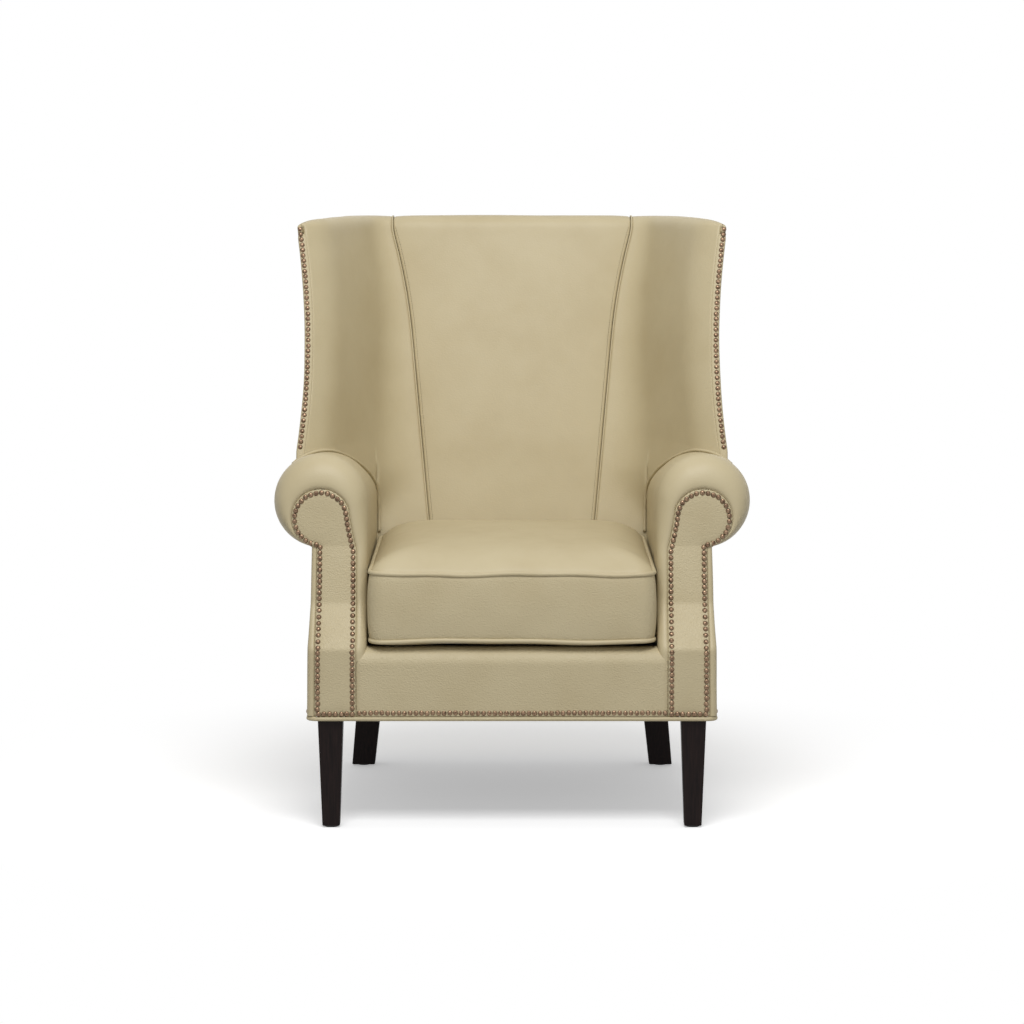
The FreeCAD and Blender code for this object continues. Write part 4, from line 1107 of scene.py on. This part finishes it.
def nail_head(seat, axis, rng):
    """One dome's points, its tip first. Its direction, size and outline waver a little."""
    axis = axis + np.array([rng.uniform(-1, 1) for _ in range(3)]) * NAIL_TILT
    axis /= np.linalg.norm(axis)
    side = np.cross(axis, (0.3, 0.2, 0.93))
    side /= np.linalg.norm(side)
    up = np.cross(axis, side)
    scale = NAIL_HEAD * rng.uniform(0.97, 1.02)
    phase = rng.uniform(0, 1)
    points = [seat + axis * NAIL_RISE]
    for reach, rise in NAIL_PROFILE:
        for number in range(NAIL_SIDES):
            turn = 2 * math.pi * (number + phase) / NAIL_SIDES
            rim = scale * reach * (1 + rng.uniform(-0.012, 0.012))
            points.append(seat + axis * rise + rim * (side * math.cos(turn) + up * math.sin(turn)))
    return points


def build_nails():
    """Domed nail heads, each a little different, where the frame has its nails."""
    rng = random.Random(11)
    groups = ["%s_%s" % (name, kind) for name, side in SIDES
              for kind in ("arm_nails", "wing_nails", "side_nails")] + ["front_rail_nails"]
    for group in groups:
        points = []
        faces = []
        for seat, axis in nail_places(frame["nodes"][group]):
            tip = len(points)
            first = tip + 1
            last = first + (len(NAIL_PROFILE) - 1) * NAIL_SIDES
            faces += [(tip, first + number, first + (number + 1) % NAIL_SIDES)
                      for number in range(NAIL_SIDES)]
            faces += grid_faces(len(NAIL_PROFILE), NAIL_SIDES, first, closed_columns=True)
            faces.append(tuple(range(last, last + NAIL_SIDES)))
            points += nail_head(seat, axis, rng)
        points = np.array(points)
        points[:, 1] -= FRONT / MM
        piece = make(group.replace("nails", "nail_heads"), points, faces, "nail_bronze")
        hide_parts(group)


def leg_end(node, top):
    """The middle and the half width of a leg's end."""
    heights = [vertex.co.z for vertex in node.data.vertices]
    level = max(heights) if top else min(heights)
    ends = np.array([vertex.co[:] for vertex in node.data.vertices if abs(vertex.co.z - level) < 1e-4]) / MM
    middle = (ends.min(axis=0) + ends.max(axis=0)) / 2
    half = (ends.max(axis=0) - ends.min(axis=0))[0] / 2
    return middle, half


def leg_ring(middle, half):
    """A level square round a point, with its corners rounded."""
    ring = []
    for corner_x, corner_y, start in ((1, 1, 0), (-1, 1, 90), (-1, -1, 180), (1, -1, 270)):
        for step in range(5):
            turn = math.radians(start + 22.5 * step)
            ring.append([middle[0] + corner_x * (half - LEG_EASE) + LEG_EASE * math.cos(turn),
                         middle[1] + corner_y * (half - LEG_EASE) + LEG_EASE * math.sin(turn), middle[2]])
    return ring


def build_legs():
    """Square tapered legs with eased edges."""
    for label in ("left_front_leg", "left_rear_leg", "right_front_leg", "right_rear_leg"):
        node = frame["nodes"][label]
        foot, foot_half = leg_end(node, False)
        head, head_half = leg_end(node, True)
        rows = []
        for share in (0.0, 0.006, *np.linspace(0.03, 0.97, 14), 1.0):
            half = foot_half + (head_half - foot_half) * share - (LEG_EASE if share == 0.0 else 0.0)
            rows.append(leg_ring(foot + (head - foot) * share, half))
        points = np.array(rows).reshape(-1, 3)
        points[:, 1] -= FRONT / MM
        sides = len(rows[0])
        faces = grid_faces(len(rows), sides, closed_columns=True) + end_faces(len(rows), sides)
        piece = make(label + "_turned", points, faces, "leg_wood")
        piece.modifiers.new("edges", "WEIGHTED_NORMAL")
        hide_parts(label)


# Stage, lamps and camera

FLOOR_REACH = 40.0
FLOOR_GREY = (0.86, 0.86, 0.86, 1.0)
BOUNCE_GREY = (0.5, 0.5, 0.5, 1.0)
FLOOR_GLOW = 0.38
SHADOW_FADES = 0.55
SHADOW_ENDS = 1.15
SKY = 0.38


def camera_ray_factor(tree):
    """1 where the camera, a gloss or a glass looks straight at the stage."""
    path = add_node(tree, "LightPath", {})
    total = math_node(tree, "MAXIMUM", path.outputs["Is Camera Ray"], path.outputs["Is Glossy Ray"])
    return math_node(tree, "MAXIMUM", total, path.outputs["Is Transmission Ray"])


def mixed(tree, share, first, second):
    return add_node(tree, "MixShader", {0: share, 1: first.outputs[0], 2: second.outputs[0]})


def build_stage():
    """A pale floor that takes the chair's shadow and turns to plain white away from it."""
    mesh = bpy.data.meshes.new("floor")
    corners = [(x * FLOOR_REACH, y * FLOOR_REACH, 0.0) for x, y in ((-1, -1), (1, -1), (1, 1), (-1, 1))]
    mesh.from_pydata(corners, [], [(0, 1, 2, 3)])
    floor = bpy.data.objects.new("floor", mesh)
    bpy.context.scene.collection.objects.link(floor)
    material = bpy.data.materials.new("floor_white")
    material.use_nodes = True
    tree = material.node_tree
    tree.nodes.clear()
    diffuse = add_node(tree, "BsdfDiffuse", {"Color": FLOOR_GREY})
    glow = add_node(tree, "Emission", {"Color": WHITE, "Strength": FLOOR_GLOW})
    lit = add_node(tree, "AddShader", {0: diffuse.outputs[0], 1: glow.outputs[0]})
    bounce = add_node(tree, "BsdfDiffuse", {"Color": BOUNCE_GREY})
    white = add_node(tree, "Emission", {"Color": WHITE, "Strength": 1.0})
    away = add_node(tree, "VectorMath", {0: add_node(tree, "TexCoord", {}).outputs["Object"]})
    away.operation = "LENGTH"
    far = add_node(tree, "MapRange", {"Value": away.outputs["Value"], "From Min": SHADOW_FADES,
                                      "From Max": SHADOW_ENDS})
    far.interpolation_type = "SMOOTHSTEP"
    seen = camera_ray_factor(tree)
    shown = mixed(tree, seen, bounce, lit)
    shown = mixed(tree, math_node(tree, "MULTIPLY", far.outputs["Result"], seen), shown, white)
    add_node(tree, "OutputMaterial", {"Surface": shown.outputs[0]})
    mesh.materials.append(material)


def build_world():
    world = bpy.data.worlds.new("studio")
    bpy.context.scene.world = world
    world.use_nodes = True
    tree = world.node_tree
    tree.nodes.clear()
    soft = add_node(tree, "Background", {"Color": WHITE, "Strength": SKY})
    white = add_node(tree, "Background", {"Color": WHITE, "Strength": 1.0})
    shown = mixed(tree, camera_ray_factor(tree), soft, white)
    add_node(tree, "OutputWorld", {"Surface": shown.outputs[0]})


def lamp(name, place, target, size, watts):
    data = bpy.data.lights.new(name, "AREA")
    data.shape = "RECTANGLE"
    data.size, data.size_y = size
    data.energy = watts
    light = bpy.data.objects.new(name, data)
    light.location = place
    light.rotation_euler = (Vector(target) - Vector(place)).to_track_quat("-Z", "Y").to_euler()
    bpy.context.scene.collection.objects.link(light)


def build_lamps():
    lamp("key", (0.0, -2.3, 3.2), (0.0, 0.0, 0.6), size=(2.0, 1.4), watts=80.0)
    lamp("overhead", (0.0, 0.4, 3.8), (0.0, 0.2, 0.5), size=(2.6, 2.4), watts=12.0)
    lamp("front", (0.0, -4.2, 2.0), (0.0, 0.0, 0.6), size=(3.0, 2.2), watts=14.0)


def build_camera():
    """The camera that fits the photograph, found from the legs, the base and the cushion's seams."""
    distance = 7.0
    height = 1.46634
    tilt = math.radians(7.17)
    focal_pixels = 3892.28
    picture = 1024.0
    data = bpy.data.cameras.new("camera")
    data.sensor_width = 36.0
    data.lens = focal_pixels / picture * data.sensor_width
    camera = bpy.data.objects.new("camera", data)
    camera.location = (0.0, FRONT - distance, height)
    camera.rotation_euler = (math.pi / 2 - tilt, 0.0, 0.0)
    bpy.context.scene.collection.objects.link(camera)
    bpy.context.scene.camera = camera


bpy.context.scene.view_settings.view_transform = "Standard"
finish_nodes()
build_inside_back()
build_wings()
build_outside_wings()
build_arm_pads()
build_facings()
build_outside_arms()
build_front_border()
build_outside_back()
build_welts()
build_topstitch()
build_cushion()
build_nails()
build_legs()
build_stage()
build_world()
build_lamps()
build_camera()
